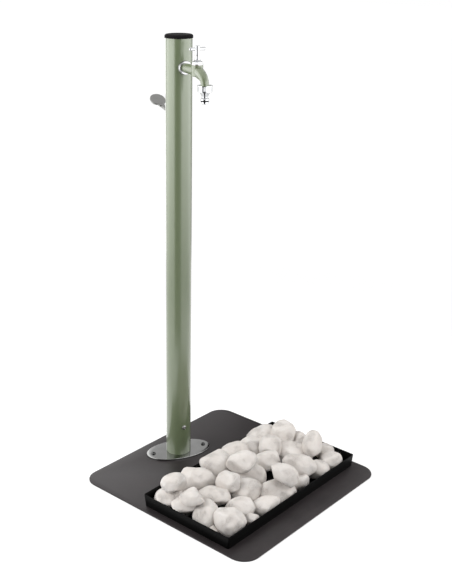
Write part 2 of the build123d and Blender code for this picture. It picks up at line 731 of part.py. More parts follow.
# Bonnet: thread and skirt in the chamber, flange, hexagon, bell and neck
neck_top = tap_height + bonnet_neck_top
hex_foot = bonnet_foot + bonnet_flange_thickness
hex_top = hex_foot + bonnet_hex_height
thread_foot = boss_top - bonnet_thread_length
skirt_top = tap_height + seat_rise + washer_gap + seat_washer_thickness + jumper_thickness
skirt_top += valve_lift + spindle_gap
spindle_foot = skirt_top - valve_lift
thread_top = spindle_foot + spindle_thread_length
bore_top = thread_top + valve_lift + handle_gap
with BuildPart() as tap_bonnet:
    with BuildSketch(level(thread_foot, valve_reach)):
        Circle(upper_chamber_diameter / 2 - bonnet_thread_fit)
    extrude(amount=bonnet_foot - thread_foot)
    with BuildSketch(level(bonnet_foot, valve_reach)):
        Circle(bonnet_flange_diameter / 2)
    extrude(amount=bonnet_flange_thickness)
    extrude(flats_outline(level(hex_foot, valve_reach), bonnet_hex_flats), amount=bonnet_hex_height)
    hex_corner = bonnet_hex_flats / sqrt(3)
    chamfer(tap_bonnet.edges().group_by(Axis.Z)[-1], hex_corner - bonnet_hex_flats / 2)
    with BuildSketch(centre_plane(valve_reach)):
        with BuildLine():
            bell_foot = (bonnet_hex_flats / 2 - bonnet_bell_height / 10, hex_top)
            bell_head = (bonnet_neck_diameter / 2, hex_top + bonnet_bell_height)
            neck = Line((bonnet_neck_diameter / 2, neck_top), bell_head)
            bell = TangentArc(bell_head, bell_foot, tangent=neck % 1)
            Polyline(bell_foot, (0, hex_top), (0, neck_top), (bonnet_neck_diameter / 2, neck_top))
        make_face()
    revolve(axis=upright(valve_reach))
    bores = [
        (thread_foot, skirt_top + spindle_gap, bonnet_skirt_bore / 2),
        (skirt_top, bore_top, spindle_thread_diameter / 2 + running_fit),
        (bore_top, neck_top, spindle_stem_diameter / 2 + running_fit),
    ]
    for start, end, radius in bores:
        with BuildSketch(level(start, valve_reach)):
            Circle(radius)
        extrude(amount=end - start, mode=Mode.SUBTRACT)
tap_bonnet.part.label = "tap_bonnet"
export_step(tap_bonnet.part, "parts/tap_bonnet.step")

# Valve jumper: a plate with a stem for the spindle and a stud for the washer
washer_foot = tap_height + seat_rise + washer_gap
jumper_foot = washer_foot + seat_washer_thickness
jumper_top = jumper_foot + jumper_thickness
with BuildPart() as valve_jumper:
    cylinders = [
        (jumper_foot, jumper_thickness, jumper_diameter),
        (jumper_top, jumper_stem_length, jumper_stem_diameter),
        (jumper_foot, -stud_length, stud_diameter),
    ]
    for start, length, diameter in cylinders:
        with BuildSketch(level(start, valve_reach)):
            Circle(diameter / 2)
        extrude(amount=length)
valve_jumper.part.label = "valve_jumper"
export_step(valve_jumper.part, "parts/valve_jumper.step")

# Seat washer, and the nut that holds it on the jumper's stud
with BuildPart() as seat_washer:
    extrude(ring_outline(level(washer_foot, valve_reach), seat_washer_diameter / 2,
                         stud_diameter / 2 + running_fit), amount=seat_washer_thickness)
    chamfer(seat_washer.edges().group_by(Axis.Z)[0].sort_by(SortBy.LENGTH)[-1], seat_washer_thickness / 6)
seat_washer.part.label = "seat_washer"
export_step(seat_washer.part, "parts/seat_washer.step")

with BuildPart() as washer_nut:
    extrude(flats_outline(level(washer_foot, valve_reach), washer_nut_flats), amount=-washer_nut_height)
    with BuildSketch(level(washer_foot, valve_reach)):
        Circle(stud_diameter / 2 + running_fit)
    extrude(amount=-washer_nut_height, mode=Mode.SUBTRACT)
washer_nut.part.label = "washer_nut"
export_step(washer_nut.part, "parts/washer_nut.step")

# Spindle: socket for the jumper, screw thread, grooved stem and the square for the handle
hub_foot = neck_top + handle_gap
square_foot = hub_foot + handle_square_rise
square_top = square_foot + handle_square_length
hub_top = hub_foot + handle_hub_height
groove_middle = tap_height + packing_groove_rise
groove_radius = spindle_stem_diameter / 2 - packing_section / 2
with BuildPart() as tap_spindle:
    with BuildSketch(level(spindle_foot, valve_reach)):
        Circle(spindle_thread_diameter / 2)
    extrude(amount=spindle_thread_length)
    with BuildSketch(level(thread_top, valve_reach)):
        Circle(spindle_stem_diameter / 2)
    extrude(amount=square_foot - thread_top)
    extrude(flats_outline(level(square_foot, valve_reach), handle_square, 4), amount=handle_square_length)
    with BuildSketch(level(spindle_foot, valve_reach)):
        Circle(jumper_stem_diameter / 2 + running_fit)
    extrude(amount=jumper_stem_length, mode=Mode.SUBTRACT)
    extrude(ring_outline(level(groove_middle - packing_section / 2, valve_reach), spindle_stem_diameter / 2,
                         groove_radius), amount=packing_section, mode=Mode.SUBTRACT)
    with BuildSketch(level(square_top, valve_reach)):
        Circle(handle_screw_diameter / 2 + running_fit)
    extrude(amount=-handle_screw_length, mode=Mode.SUBTRACT)
tap_spindle.part.label = "tap_spindle"
export_step(tap_spindle.part, "parts/tap_spindle.step")

# Packing ring: a rubber ring in the spindle's groove
with BuildPart() as packing_ring:
    section_radius = (packing_section / 2 - packing_squeeze) / 2
    with BuildSketch(centre_plane(valve_reach)):
        with Locations((groove_radius + packing_squeeze / 2 + section_radius, groove_middle)):
            Circle(section_radius)
    revolve(axis=upright(valve_reach))
packing_ring.part.label = "packing_ring"
export_step(packing_ring.part, "parts/packing_ring.step")

# Handle: a round hub with a bar across it, thicker towards its rounded ends
bar_level = hub_foot + handle_bar_rise
with BuildPart() as tap_handle:
    with BuildSketch(level(hub_foot, valve_reach)):
        Circle(handle_hub_diameter / 2)
    extrude(amount=handle_hub_height)
    fillet(tap_handle.faces().filter_by(Axis.Z).edges(), handle_hub_round)
    end_radius = handle_bar_end_diameter / 2
    shoulder = handle_bar_length / 2 - end_radius
    bar_plane = Plane(origin=spot(valve_reach, bar_level), x_dir=side_way, z_dir=tap_way)
    with BuildSketch(bar_plane):
        with BuildLine():
            root = Line((0, 0), (0, handle_bar_root_diameter / 2))
            flank = Line(root @ 1, (shoulder, end_radius))
            tip = ThreePointArc(flank @ 1, (shoulder + end_radius * cos(pi / 4), end_radius * sin(pi / 4)),
                                (shoulder + end_radius, 0))
            Line(tip @ 1, (0, 0))
        make_face()
    revolve(axis=Axis(origin=spot(valve_reach, bar_level), direction=side_way))
    mirror(about=Plane(origin=spot(valve_reach, bar_level), x_dir=tap_way, z_dir=side_way))
    with BuildSketch(level(hub_foot, valve_reach)):
        Circle(spindle_stem_diameter / 2 + running_fit)
    extrude(amount=handle_square_rise, mode=Mode.SUBTRACT)
    extrude(flats_outline(level(square_foot, valve_reach), handle_square + 2 * running_fit, 4),
            amount=handle_square_length, mode=Mode.SUBTRACT)
    with BuildSketch(level(square_top, valve_reach)):
        Circle(handle_screw_diameter / 2 + running_fit)
    extrude(amount=hub_top - square_top, mode=Mode.SUBTRACT)
tap_handle.part.label = "tap_handle"
export_step(tap_handle.part, "parts/tap_handle.step")

# Handle screw: a plain domed head that closes the hub
with BuildPart() as handle_screw:
    with BuildSketch(level(hub_top, valve_reach)):
        Circle(handle_top_diameter / 2)
    extrude(amount=handle_top_height)
    fillet(handle_screw.faces().sort_by(Axis.Z)[-1].edges(), handle_top_height / 2)
    with BuildSketch(level(hub_top, valve_reach)):
        Circle(handle_screw_diameter / 2)
    extrude(amount=-handle_screw_length)
handle_screw.part.label = "handle_screw"
export_step(handle_screw.part, "parts/handle_screw.step")

# Union nut: a rimmed nut with finger grips, its lip under the nozzle's flange
nut_top = spout_end + union_overlap
nut_foot = nut_top - union_nut_height
collar_foot = spout_end - collar_length
flange_top = collar_foot - union_washer_thickness
flange_foot = flange_top - nozzle_flange_thickness
with BuildPart() as union_nut:
    with BuildSketch(level(nut_foot, spout_reach)):
        Circle(union_nut_diameter / 2)
    extrude(amount=union_nut_height)
    fillet(union_nut.faces().sort_by(Axis.Z)[0].edges(), union_rim_height)
    grip_ring_radius = union_nut_diameter / 2 + union_grip_diameter / 2 - union_grip_bite
    with BuildSketch(level(nut_top, spout_reach)):
        with PolarLocations(grip_ring_radius, union_grip_count):
            Circle(union_grip_diameter / 2)
    extrude(amount=union_grip_margin - union_nut_height, mode=Mode.SUBTRACT)
    with BuildSketch(level(nut_top, spout_reach)):
        Circle(union_rim_diameter / 2)
    extrude(amount=-union_rim_height)
    with BuildSketch(level(flange_foot, spout_reach)):
        Circle(collar_diameter / 2 + nut_fit)
    extrude(amount=nut_top - flange_foot, mode=Mode.SUBTRACT)
    with BuildSketch(level(nut_foot, spout_reach)):
        Circle(nozzle_root_diameter / 2 + nut_fit)
    extrude(amount=flange_foot - nut_foot, mode=Mode.SUBTRACT)
union_nut.part.label = "union_nut"
export_step(union_nut.part, "parts/union_nut.step")

# Union washer: rubber ring between the collar and the nozzle's flange
with BuildPart() as union_washer:
    extrude(ring_outline(level(flange_top, spout_reach), nozzle_flange_diameter / 2, spout_bore / 2),
            amount=union_washer_thickness)
union_washer.part.label = "union_washer"
export_step(union_washer.part, "parts/union_washer.step")

# Hose nozzle: flange, cone, waist, flared collar, ring groove and tip
neck_foot = flange_foot - nozzle_neck_height
waist_top = neck_foot - nozzle_cone_length
waist_foot = waist_top - nozzle_waist_length
nozzle_collar_top = waist_foot - nozzle_flare_length
groove_top = nozzle_collar_top - nozzle_collar_length
groove_foot = groove_top - nozzle_groove_length
nozzle_groove_radius = ring_outer_diameter / 2 - ring_section - ring_clearance
nozzle_foot = groove_foot - nozzle_tip_length
with BuildPart() as hose_nozzle:
    nozzle_outline = [
        (nozzle_bore / 2, flange_top),
        (nozzle_flange_diameter / 2, flange_top),
        (nozzle_flange_diameter / 2, flange_foot),
        (nozzle_root_diameter / 2, flange_foot),
        (nozzle_root_diameter / 2, neck_foot),
        (nozzle_waist_diameter / 2, waist_top),
        (nozzle_waist_diameter / 2, waist_foot),
        (nozzle_collar_diameter / 2, nozzle_collar_top),
        (nozzle_collar_diameter / 2, groove_top),
        (nozzle_groove_radius, groove_top),
        (nozzle_groove_radius, groove_foot),
        (nozzle_tip_diameter / 2, groove_foot),
        (nozzle_tip_diameter / 2, nozzle_foot + nozzle_tip_round),
        (nozzle_tip_diameter / 2 - nozzle_tip_round, nozzle_foot),
        (nozzle_bore / 2, nozzle_foot),
    ]
    revolve(turned_outline(spout_reach, nozzle_outline), axis=upright(spout_reach))
hose_nozzle.part.label = "hose_nozzle"
export_step(hose_nozzle.part, "parts/hose_nozzle.step")

# Nozzle ring: a rubber ring in the nozzle's groove
with BuildPart() as nozzle_ring:
    with BuildSketch(centre_plane(spout_reach)):
        with Locations((ring_outer_diameter / 2 - ring_section / 2, (groove_top + groove_foot) / 2)):
            Circle(ring_section / 2)
    revolve(axis=upright(spout_reach))
nozzle_ring.part.label = "nozzle_ring"
export_step(nozzle_ring.part, "parts/nozzle_ring.step")

# Hook stem: a bent rod, threaded through the column's wall, its end cut to half its thickness
back_plane = Plane(origin=spot(0, hook_height), x_dir=tap_way * -1, z_dir=side_way)
stem_start = column_bore_radius - hook_thread_length
bend_run = hook_bend_radius * sin(radians(hook_stem_slope))
bend_rise = hook_bend_radius * (1 - cos(radians(hook_stem_slope)))
tab_height = bend_rise + (hook_tab_reach - hook_bend_reach - bend_run) * tan(radians(hook_stem_slope))


# A plane along the underside of the hook's plate, at a reach behind the column and a slope
def hook_plane(reach, height, slope):
    uphill = tap_way * -cos(radians(slope)) + up_way * sin(radians(slope))
    return Plane(origin=spot(-reach, height), x_dir=side_way, z_dir=side_way.cross(uphill))


tab_plane = hook_plane(hook_tab_reach, hook_height + tab_height, hook_stem_slope)
tab_run = hook_tab_length * cos(radians(hook_stem_slope))
lip_height = tab_height + hook_tab_length * sin(radians(hook_stem_slope))
lip_shrink = cos(radians(hook_lip_slope))
lip_run = hook_lip_length * lip_shrink
lip_rise = hook_lip_length * sin(radians(hook_lip_slope))
with BuildPart() as hook_stem:
    with BuildLine(back_plane):
        straight = Line((stem_start, 0), (hook_bend_reach, 0))
        bend = JernArc(straight @ 1, straight % 1, hook_bend_radius, hook_stem_slope)
        rise = Line(bend @ 1, (hook_tab_reach, tab_height))
        lap_end = (hook_tab_reach + hook_lap_length * cos(radians(hook_stem_slope)),
                   tab_height + hook_lap_length * sin(radians(hook_stem_slope)))
        Line(rise @ 1, lap_end)
    with BuildSketch(facing(-stem_start, hook_height)):
        Circle(hook_stem_diameter / 2)
    sweep()
    with BuildSketch(tab_plane):
        with Locations((0, hook_lap_length)):
            Rectangle(2 * hook_stem_diameter, 2 * hook_lap_length)
    extrude(amount=hook_stem_diameter, mode=Mode.SUBTRACT)
    with BuildSketch(facing(-column_radius - hook_seat_gap, hook_height)):
        Circle(hook_collar_diameter / 2)
    extrude(amount=-hook_collar_thickness)
hook_stem.part.label = "hook_stem"
export_step(hook_stem.part, "parts/hook_stem.step")

# Hook plate: a tab that widens to a lip bent upwards, with a round end; the bent strip is cut to
# the outline that it shows from above
with BuildPart() as hook_plate:
    with BuildSketch(back_plane):
        with BuildLine():
            lip_reach = hook_tab_reach + tab_run
            FilletPolyline((hook_tab_reach, tab_height), (lip_reach, lip_height),
                           (lip_reach + lip_run, lip_height + lip_rise),
                           radius=hook_plate_bend + hook_plate_thickness)
            offset(amount=hook_plate_thickness, side=Side.LEFT)
        make_face()
    extrude(amount=hook_lip_width / 2, both=True)
    with BuildSketch(Plane(origin=spot(-hook_tab_reach, hook_height), x_dir=side_way,
                           z_dir=up_way)):
        round_start = lip_reach - hook_tab_reach + lip_run - hook_lip_width / 2 * lip_shrink
        outline_back = -hook_plate_thickness
        Polygon((-hook_tab_width / 2, outline_back), (hook_tab_width / 2, outline_back),
                (hook_tab_width / 2, 0), (hook_lip_width / 2, tab_run), (hook_lip_width / 2, round_start),
                (-hook_lip_width / 2, round_start), (-hook_lip_width / 2, tab_run),
                (-hook_tab_width / 2, 0), align=None)
        with Locations((0, round_start)):
            Ellipse(hook_lip_width / 2, hook_lip_width / 2 * lip_shrink)
    extrude(amount=hook_lip_length + hook_tab_length, mode=Mode.INTERSECT)
hook_plate.part.label = "hook_plate"
export_step(hook_plate.part, "parts/hook_plate.step")

# Hook nut: its corners bear on the inside of the column's wall
nut_seat = sqrt(column_bore_radius ** 2 - hook_nut_flats ** 2 / 3) - hook_seat_gap
with BuildPart() as hook_nut:
    extrude(flats_outline(facing(-nut_seat, hook_height), hook_nut_flats), amount=hook_nut_height)
    with BuildSketch(facing(-nut_seat, hook_height)):
        Circle(hook_stem_diameter / 2 + running_fit)
    extrude(amount=hook_nut_height, mode=Mode.SUBTRACT)
hook_nut.part.label = "hook_nut"
export_step(hook_nut.part, "parts/hook_nut.step")

# Pebble tray: lies on the base plate
tray_middle = tray_front_margin + tray_width / 2 - plate_width / 2
tray_floor = plate_thickness + tray_wall
tray_rim = plate_thickness + tray_height
tray_slope = tray_flare / tray_height
with BuildPart() as pebble_tray:
    for inset, foot, mode in ((0, plate_thickness, Mode.ADD), (tray_wall, tray_floor, Mode.SUBTRACT)):
        for height in (foot, tray_rim):
            margin = inset + (tray_rim - height) * tray_slope
            with BuildSketch(Plane(origin=(0, tray_middle, height), z_dir=up_way)):
                RectangleRounded(tray_length - 2 * margin, tray_width - 2 * margin,
                                 tray_corner_radius - inset)
        loft(mode=mode)
    fillet(pebble_tray.faces().sort_by(Axis.Z)[-1].edges(), tray_rim_round)
pebble_tray.part.label = "pebble_tray"
export_step(pebble_tray.part, "parts/pebble_tray.step")


# The rings of corners of one pebble about its own middle
def pebble_rings(length, width, thickness, turn, lean, roll, taper):
    spin, tilt, bank = radians(turn), radians(lean), radians(roll)
    rings = []
    for height_share, size_share in pebble_ring_shares:
        ring = []
        for side in range(pebble_sides):
            angle = 2 * pi * side / pebble_sides
            along = length / 2 * size_share * cos(angle)
            across = width / 2 * size_share * sin(angle) * (1 + taper * cos(angle))
            upward = height_share * thickness / 2
            rolled = across * cos(bank) - upward * sin(bank)
            lifted = across * sin(bank) + upward * cos(bank)
            leaned = along * cos(tilt) + lifted * sin(tilt)
            ring.append((leaned * cos(spin) - rolled * sin(spin), leaned * sin(spin) + rolled * cos(spin),
                         lifted * cos(tilt) - along * sin(tilt)))
        rings.append(ring)
    return np.array(rings)


# The flat facets between the rings, as lists of corners, with the two end facets first
def pebble_facets(rings):
    facets = [rings[0], rings[-1]]
    for lower, upper in zip(rings, rings[1:]):
        facets += [(lower[side], lower[side - 1], upper[side - 1], upper[side])
                   for side in range(pebble_sides)]
    return facets


# The underside and the top of a pebble at points around its middle, from the planes of its facets
def pebble_heights(rings, x, y):
    underside = np.full_like(x, -np.inf)
    top = np.full_like(x, np.inf)
    for facet in pebble_facets(rings):
        first, second, third = facet[:3]
        normal = np.cross(second - first, third - first)
        normal = normal * np.sign(normal @ first)
        height = (normal @ first - normal[0] * x - normal[1] * y) / normal[2]
        if normal[2] > 0:
            top = np.minimum(top, height)
        else:
            underside = np.maximum(underside, height)
    return underside, top


# A surface of heights grown sideways by one step of the grid
def widened(heights):
    for step in (1, -1):
        heights = np.maximum(heights, np.roll(heights, step, axis=0))
        heights = np.maximum(heights, np.roll(heights, step, axis=1))
    return heights


# The ground that the pebbles are laid on: the tray's floor, its leaning sides and its rim
half_length = tray_length / 2 - tray_wall - tray_flare
half_width = tray_width / 2 - tray_wall - tray_flare
grid_x, grid_y = np.meshgrid(np.arange(-tray_length / 2, tray_length / 2, pebble_map_step),
                             np.arange(-tray_width / 2, tray_width / 2, pebble_map_step))
wall_run = np.maximum(abs(grid_x) - half_length, abs(grid_y) - half_width)
ground = tray_floor + np.clip(wall_run / tray_slope, 0, None)
ground = widened(np.where(wall_run > tray_flare, tray_rim, ground))

# Pebbles: each comes down on the tray or on the pebbles laid before it
with BuildPart() as pebbles:
    stones = []
    for x_share, y_share, length, width, thickness, turn, lean, roll, taper in pebble_shares:
        sizes = [share * pebble_size for share in (length, width, thickness)]
        rings = pebble_rings(*sizes, turn, lean, roll, taper)
        x, y = x_share * half_length, y_share * half_width
        underside, top = pebble_heights(rings, grid_x - x, grid_y - y)
        covered = top > underside
        z = (ground - underside)[covered].max() + pebble_gap
        ground = np.maximum(ground, widened(np.where(covered, top + z, tray_floor)))
        middle = Vector(x, y + tray_middle, z)
        faces = [Face(Wire.make_polygon([middle + Vector(*corner) for corner in facet]))
                 for facet in pebble_facets(rings)]
        stones.append(Solid(Shell(faces)))
    add(stones)
pebbles.part.label = "pebbles"
export_step(pebbles.part, "parts/pebbles.step")
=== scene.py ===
import bpy, bmesh, math
import numpy as np
from mathutils import Matrix, Vector, noise


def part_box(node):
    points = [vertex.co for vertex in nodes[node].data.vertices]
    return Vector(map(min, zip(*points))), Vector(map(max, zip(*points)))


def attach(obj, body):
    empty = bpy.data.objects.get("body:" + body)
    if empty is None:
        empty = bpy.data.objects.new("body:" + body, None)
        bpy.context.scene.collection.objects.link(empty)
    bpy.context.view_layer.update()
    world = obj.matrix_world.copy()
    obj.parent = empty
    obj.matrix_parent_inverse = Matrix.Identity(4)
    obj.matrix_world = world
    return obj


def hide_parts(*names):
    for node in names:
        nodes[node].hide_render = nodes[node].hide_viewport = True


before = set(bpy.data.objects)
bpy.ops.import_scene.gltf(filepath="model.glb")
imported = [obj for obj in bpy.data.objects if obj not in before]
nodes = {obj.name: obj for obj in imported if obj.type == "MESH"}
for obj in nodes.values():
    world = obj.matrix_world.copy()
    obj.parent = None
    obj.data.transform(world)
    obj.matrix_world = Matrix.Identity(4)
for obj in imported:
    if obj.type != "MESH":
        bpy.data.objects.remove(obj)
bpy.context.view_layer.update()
mm = 0.001
# Distances in metres under which corners count as one
mergeGap = {"turned": 0.00001, "node": 0.000001, "dressed": 0.000002, "hook": 0.00005}
# Angles in degrees between two faces from which the edge between them shows as a crease
creaseAngles = {"made": 35, "dressed": 32, "hook": 40, "stones": 180}


# Middle of a node's box
def middleOf(node):
    low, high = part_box(node)
    return (Vector(low) + Vector(high)) / 2


# The head of the column is turned, so its directions come from the pieces themselves
columnMiddle = middleOf("column_tube")
outletMiddle = middleOf("union_nut")
tapWay = (outletMiddle - columnMiddle) * Vector((1, 1, 0))
tapWay.normalize()
sideWay = Vector((-tapWay.y, tapWay.x, 0))
upWay = Vector((0, 0, 1))


# A place in the head's upright plane: mm out from the column's axis, height in metres
def spot(reach, height):
    return Vector((columnMiddle.x, columnMiddle.y, 0)) + tapWay * (reach * mm) + upWay * height


def topOf(node):
    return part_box(node)[1][2]


def footOf(node):
    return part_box(node)[0][2]


print("frame loaded,", len(nodes), "nodes")


# Mesh helpers

def smoothFaces(mesh):
    for polygon in mesh.polygons:
        polygon.use_smooth = True


def shadeRound(mesh, creaseAngle=creaseAngles["made"]):
    smoothFaces(mesh)
    mesh.set_sharp_from_angle(angle=math.radians(creaseAngle))


def vertsIn(parts):
    return [part for part in parts if isinstance(part, bmesh.types.BMVert)]


def linkPiece(bm, name, body="root", creaseAngle=creaseAngles["made"]):
    mesh = bpy.data.meshes.new(name)
    bm.to_mesh(mesh)
    bm.free()
    shadeRound(mesh, creaseAngle)
    piece = bpy.data.objects.new(name, mesh)
    bpy.context.scene.collection.objects.link(piece)
    if body:
        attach(piece, body)
    return piece


# An outline of (radius, height) in mm turned about an upright axis; rounds holds (corner, radius)
def turnedPiece(name, outline, place, rounds, segments):
    bm = bmesh.new()
    corners = [bm.verts.new((radius * mm, 0, height * mm)) for radius, height in outline]
    for pair in zip(corners, corners[1:] + corners[:1]):
        bm.edges.new(pair)
    for index, radius in rounds:
        bmesh.ops.bevel(bm, geom=[corners[index]], affect="VERTICES", offset=radius * mm,
                        segments=4, profile=0.5, material=-1)
    edges = [edge for edge in bm.edges if not edge.link_faces]
    verts = [vert for vert in bm.verts if not vert.link_faces]
    bmesh.ops.spin(bm, geom=verts + edges, cent=(0, 0, 0), axis=(0, 0, 1), angle=math.tau,
                   steps=segments, use_merge=True)
    bmesh.ops.remove_doubles(bm, verts=bm.verts, dist=mergeGap["turned"])
    bmesh.ops.recalc_face_normals(bm, faces=bm.faces)
    bmesh.ops.translate(bm, vec=place, verts=bm.verts)
    return linkPiece(bm, name)


# Gives a piece the mesh that its modifiers make
def applyModifiers(piece):
    graph = bpy.context.evaluated_depsgraph_get()
    mesh = bpy.data.meshes.new_from_object(piece.evaluated_get(graph))
    piece.modifiers.clear()
    piece.data = mesh


# A merged copy of a CAD node's mesh, as the start of a finer piece
def copyOfNode(node):
    bm = bmesh.new()
    bm.from_mesh(nodes[node].data)
    bmesh.ops.remove_doubles(bm, verts=bm.verts, dist=mergeGap["node"])
    return bm


# A CAD node stays as it is, shaded round between its creases
def dressNode(node, material):
    piece = nodes[node]
    smoothFaces(piece.data)
    weld = piece.modifiers.new("weld", "WELD")
    weld.merge_threshold = mergeGap["dressed"]
    split = piece.modifiers.new("creases", "EDGE_SPLIT")
    split.split_angle = math.radians(creaseAngles["dressed"])
    paint(piece, material)


def paint(piece, material):
    piece.data.materials.clear()
    piece.data.materials.append(material)


# Shader helpers and the node groups that several materials share

class Shader:
    def __init__(self, tree):
        self.tree = tree

    def add(self, kind, values=None, **settings):
        node = self.tree.nodes.new(kind)
        for key, value in settings.items():
            setattr(node, key, value)
        for key, value in (values or {}).items():
            if isinstance(value, bpy.types.NodeSocket):
                self.tree.links.new(value, node.inputs[key])
            else:
                node.inputs[key].default_value = value
        return node

    # Grey levels at positions from nought to one
    def ramp(self, factor, stops):
        node = self.add("ShaderNodeValToRGB", {"Fac": factor})
        while len(node.color_ramp.elements) < len(stops):
            node.color_ramp.elements.new(0.5)
        for element, (position, level) in zip(node.color_ramp.elements, stops):
            element.position = position
            element.color = (level, level, level, 1)
        return node.outputs["Color"]

    # Nought up to the first edge, one from the second
    def mask(self, factor, edges):
        return self.ramp(factor, list(zip(edges, (0.0, 1.0))))

    def mix(self, factor, first, second):
        node = self.add("ShaderNodeMix", data_type="RGBA")
        for index, value in ((0, factor), (6, first), (7, second)):
            if isinstance(value, bpy.types.NodeSocket):
                self.tree.links.new(value, node.inputs[index])
            elif isinstance(value, tuple):
                node.inputs[index].default_value = value
            else:
                node.inputs[index].default_value = value if index == 0 else (value, value, value, 1)
        return node.outputs[2]

    def math(self, operation, first, second, third=0.0):
        return self.add("ShaderNodeMath", {0: first, 1: second, 2: third}, operation=operation).outputs[0]

    def noise(self, place, scale, detail, roughness=0.5, distortion=0.0):
        node = self.add("ShaderNodeTexNoise", {
            "Vector": place, "Scale": scale, "Detail": detail, "Roughness": roughness,
            "Distortion": distortion})
        return node.outputs["Fac"]

    # Relief whose full height is a depth in mm
    def bump(self, height, depth):
        values = {"Height": height, "Strength": 1.0, "Distance": depth * mm}
        return self.add("ShaderNodeBump", values).outputs[0]

    def objectPlace(self):
        return self.add("ShaderNodeTexCoord").outputs["Object"]


def newGroup(name, inputs, outputs):
    group = bpy.data.node_groups.new(name, "ShaderNodeTree")
    for label, kind, value in inputs:
        socket = group.interface.new_socket(label, in_out="INPUT", socket_type=kind)
        socket.default_value = value
    for label, kind in outputs:
        group.interface.new_socket(label, in_out="OUTPUT", socket_type=kind)
    shader = Shader(group)
    return group, shader, shader.add("NodeGroupInput"), shader.add("NodeGroupOutput")


# Small even relief of a powder coat or a casting, with a slow cloudy mask beside it
def makeGrainGroup():
    group, shader, given, out = newGroup("coatGrain", [
        ("Grain Size", "NodeSocketFloat", 900.0), ("Cloud Size", "NodeSocketFloat", 12.0)],
        [("Height", "NodeSocketFloat"), ("Cloud", "NodeSocketFloat")])
    place = shader.objectPlace()
    grain = shader.noise(place, given.outputs["Grain Size"], 2.0, 0.6)
    cloud = shader.noise(place, given.outputs["Cloud Size"], 5.0, 0.55)
    group.links.new(grain, out.inputs["Height"])
    group.links.new(cloud, out.inputs["Cloud"])
    return group


# Fine scratches that run one way, as brushing or polishing leaves
def makeBrushGroup():
    group, shader, given, out = newGroup(
        "brushLines", [("Stretch", "NodeSocketVector", (40.0, 900.0, 900.0))],
        [("Lines", "NodeSocketFloat"), ("Smudge", "NodeSocketFloat")])
    place = shader.objectPlace()
    stretched = shader.add("ShaderNodeVectorMath", {0: place, 1: given.outputs["Stretch"]},
                           operation="MULTIPLY")
    group.links.new(shader.noise(stretched.outputs[0], 1.0, 3.0), out.inputs["Lines"])
    group.links.new(shader.noise(place, 35.0, 4.0), out.inputs["Smudge"])
    return group


# Dust that settles where a surface faces up, in uneven patches
def makeDustGroup():
    group, shader, given, out = newGroup("settledDust", [
        ("Amount", "NodeSocketFloat", 0.2), ("Patch Size", "NodeSocketFloat", 25.0)],
        [("Dust", "NodeSocketFloat")])
    facing = shader.add("ShaderNodeSeparateXYZ", {
        "Vector": shader.add("ShaderNodeNewGeometry").outputs["Normal"]}).outputs["Z"]
    patches = shader.noise(shader.objectPlace(), given.outputs["Patch Size"], 6.0, 0.7)
    settled = shader.math("MULTIPLY", shader.math("MAXIMUM", facing, 0.0), patches)
    mask = shader.math("MULTIPLY", settled, given.outputs["Amount"])
    group.links.new(mask, out.inputs["Dust"])
    return group


grainGroup = makeGrainGroup()
brushGroup = makeBrushGroup()
dustGroup = makeDustGroup()


def newMaterial(name):
    material = bpy.data.materials.new(name)
    material.use_nodes = True
    material.node_tree.nodes.clear()
    shader = Shader(material.node_tree)
    surface = shader.add("ShaderNodeBsdfPrincipled")
    out = shader.add("ShaderNodeOutputMaterial")
    material.node_tree.links.new(surface.outputs[0], out.inputs["Surface"])
    return material, shader, surface


def useGroup(shader, group, values):
    return shader.add("ShaderNodeGroup", values, node_tree=group).outputs


def connect(shader, surface, links):
    for key, socket in links.items():
        shader.tree.links.new(socket, surface.inputs[key])


# What all coats share: their clouds, and the clear layer over paint
coating = {"cloudSize": 14.0, "cloudEdges": (0.35, 0.7), "roughSpread": 0.12, "clearRoughness": 0.22,
           "clearIor": 1.7}


# A coat of powder paint: even colour with slow clouds, fine relief and a little dust on top
def coatMaterial(name, colour, cloudColour, dustColour, roughness, grainSize, relief, dust, coat=0.0,
                 shine=0.5):
    material, shader, surface = newMaterial(name)
    grain = useGroup(shader, grainGroup, {"Grain Size": grainSize, "Cloud Size": coating["cloudSize"]})
    settled = useGroup(shader, dustGroup, {"Amount": dust})
    clouds = shader.mix(shader.mask(grain["Cloud"], coating["cloudEdges"]), colour, cloudColour)
    spread = coating["roughSpread"]
    surface.inputs["Coat Weight"].default_value = coat
    surface.inputs["Coat Roughness"].default_value = coating["clearRoughness"]
    surface.inputs["Coat IOR"].default_value = coating["clearIor"]
    surface.inputs["Specular IOR Level"].default_value = shine
    connect(shader, surface, {
        "Base Color": shader.mix(settled["Dust"], clouds, dustColour),
        "Roughness": shader.math("MULTIPLY_ADD", grain["Cloud"], spread, roughness - spread / 2),
        "Normal": shader.bump(grain["Height"], relief)})
    return material


# What all metals share
smudging = {"edges": (0.4, 0.75), "roughShare": 0.6}


# Bare or plated metal, with brush lines in its gloss and faint smudges
def metalMaterial(name, colour, tintColour, roughness, spread, stretch=(60.0, 900.0, 900.0), relief=0.002):
    material, shader, surface = newMaterial(name)
    brush = useGroup(shader, brushGroup, {"Stretch": stretch})
    tint = shader.mix(shader.mask(brush["Smudge"], smudging["edges"]), colour, tintColour)
    rough = shader.math("MULTIPLY_ADD", brush["Lines"], spread, roughness - spread / 2)
    rough = shader.math("MULTIPLY_ADD", brush["Smudge"], spread * smudging["roughShare"], rough)
    surface.inputs["Metallic"].default_value = 1.0
    connect(shader, surface, {
        "Base Color": tint, "Roughness": rough, "Normal": shader.bump(brush["Lines"], relief)})
    return material


# Moulded plastic, rubber and fibre
def mouldedMaterial(name, colour, wornColour, roughness, grainSize=1200.0, relief=0.02, dust=0.05,
                    shine=0.5):
    dustColour = (0.20, 0.19, 0.18, 1)
    return coatMaterial(name, colour, wornColour, dustColour, roughness, grainSize, relief, dust,
                        shine=shine)


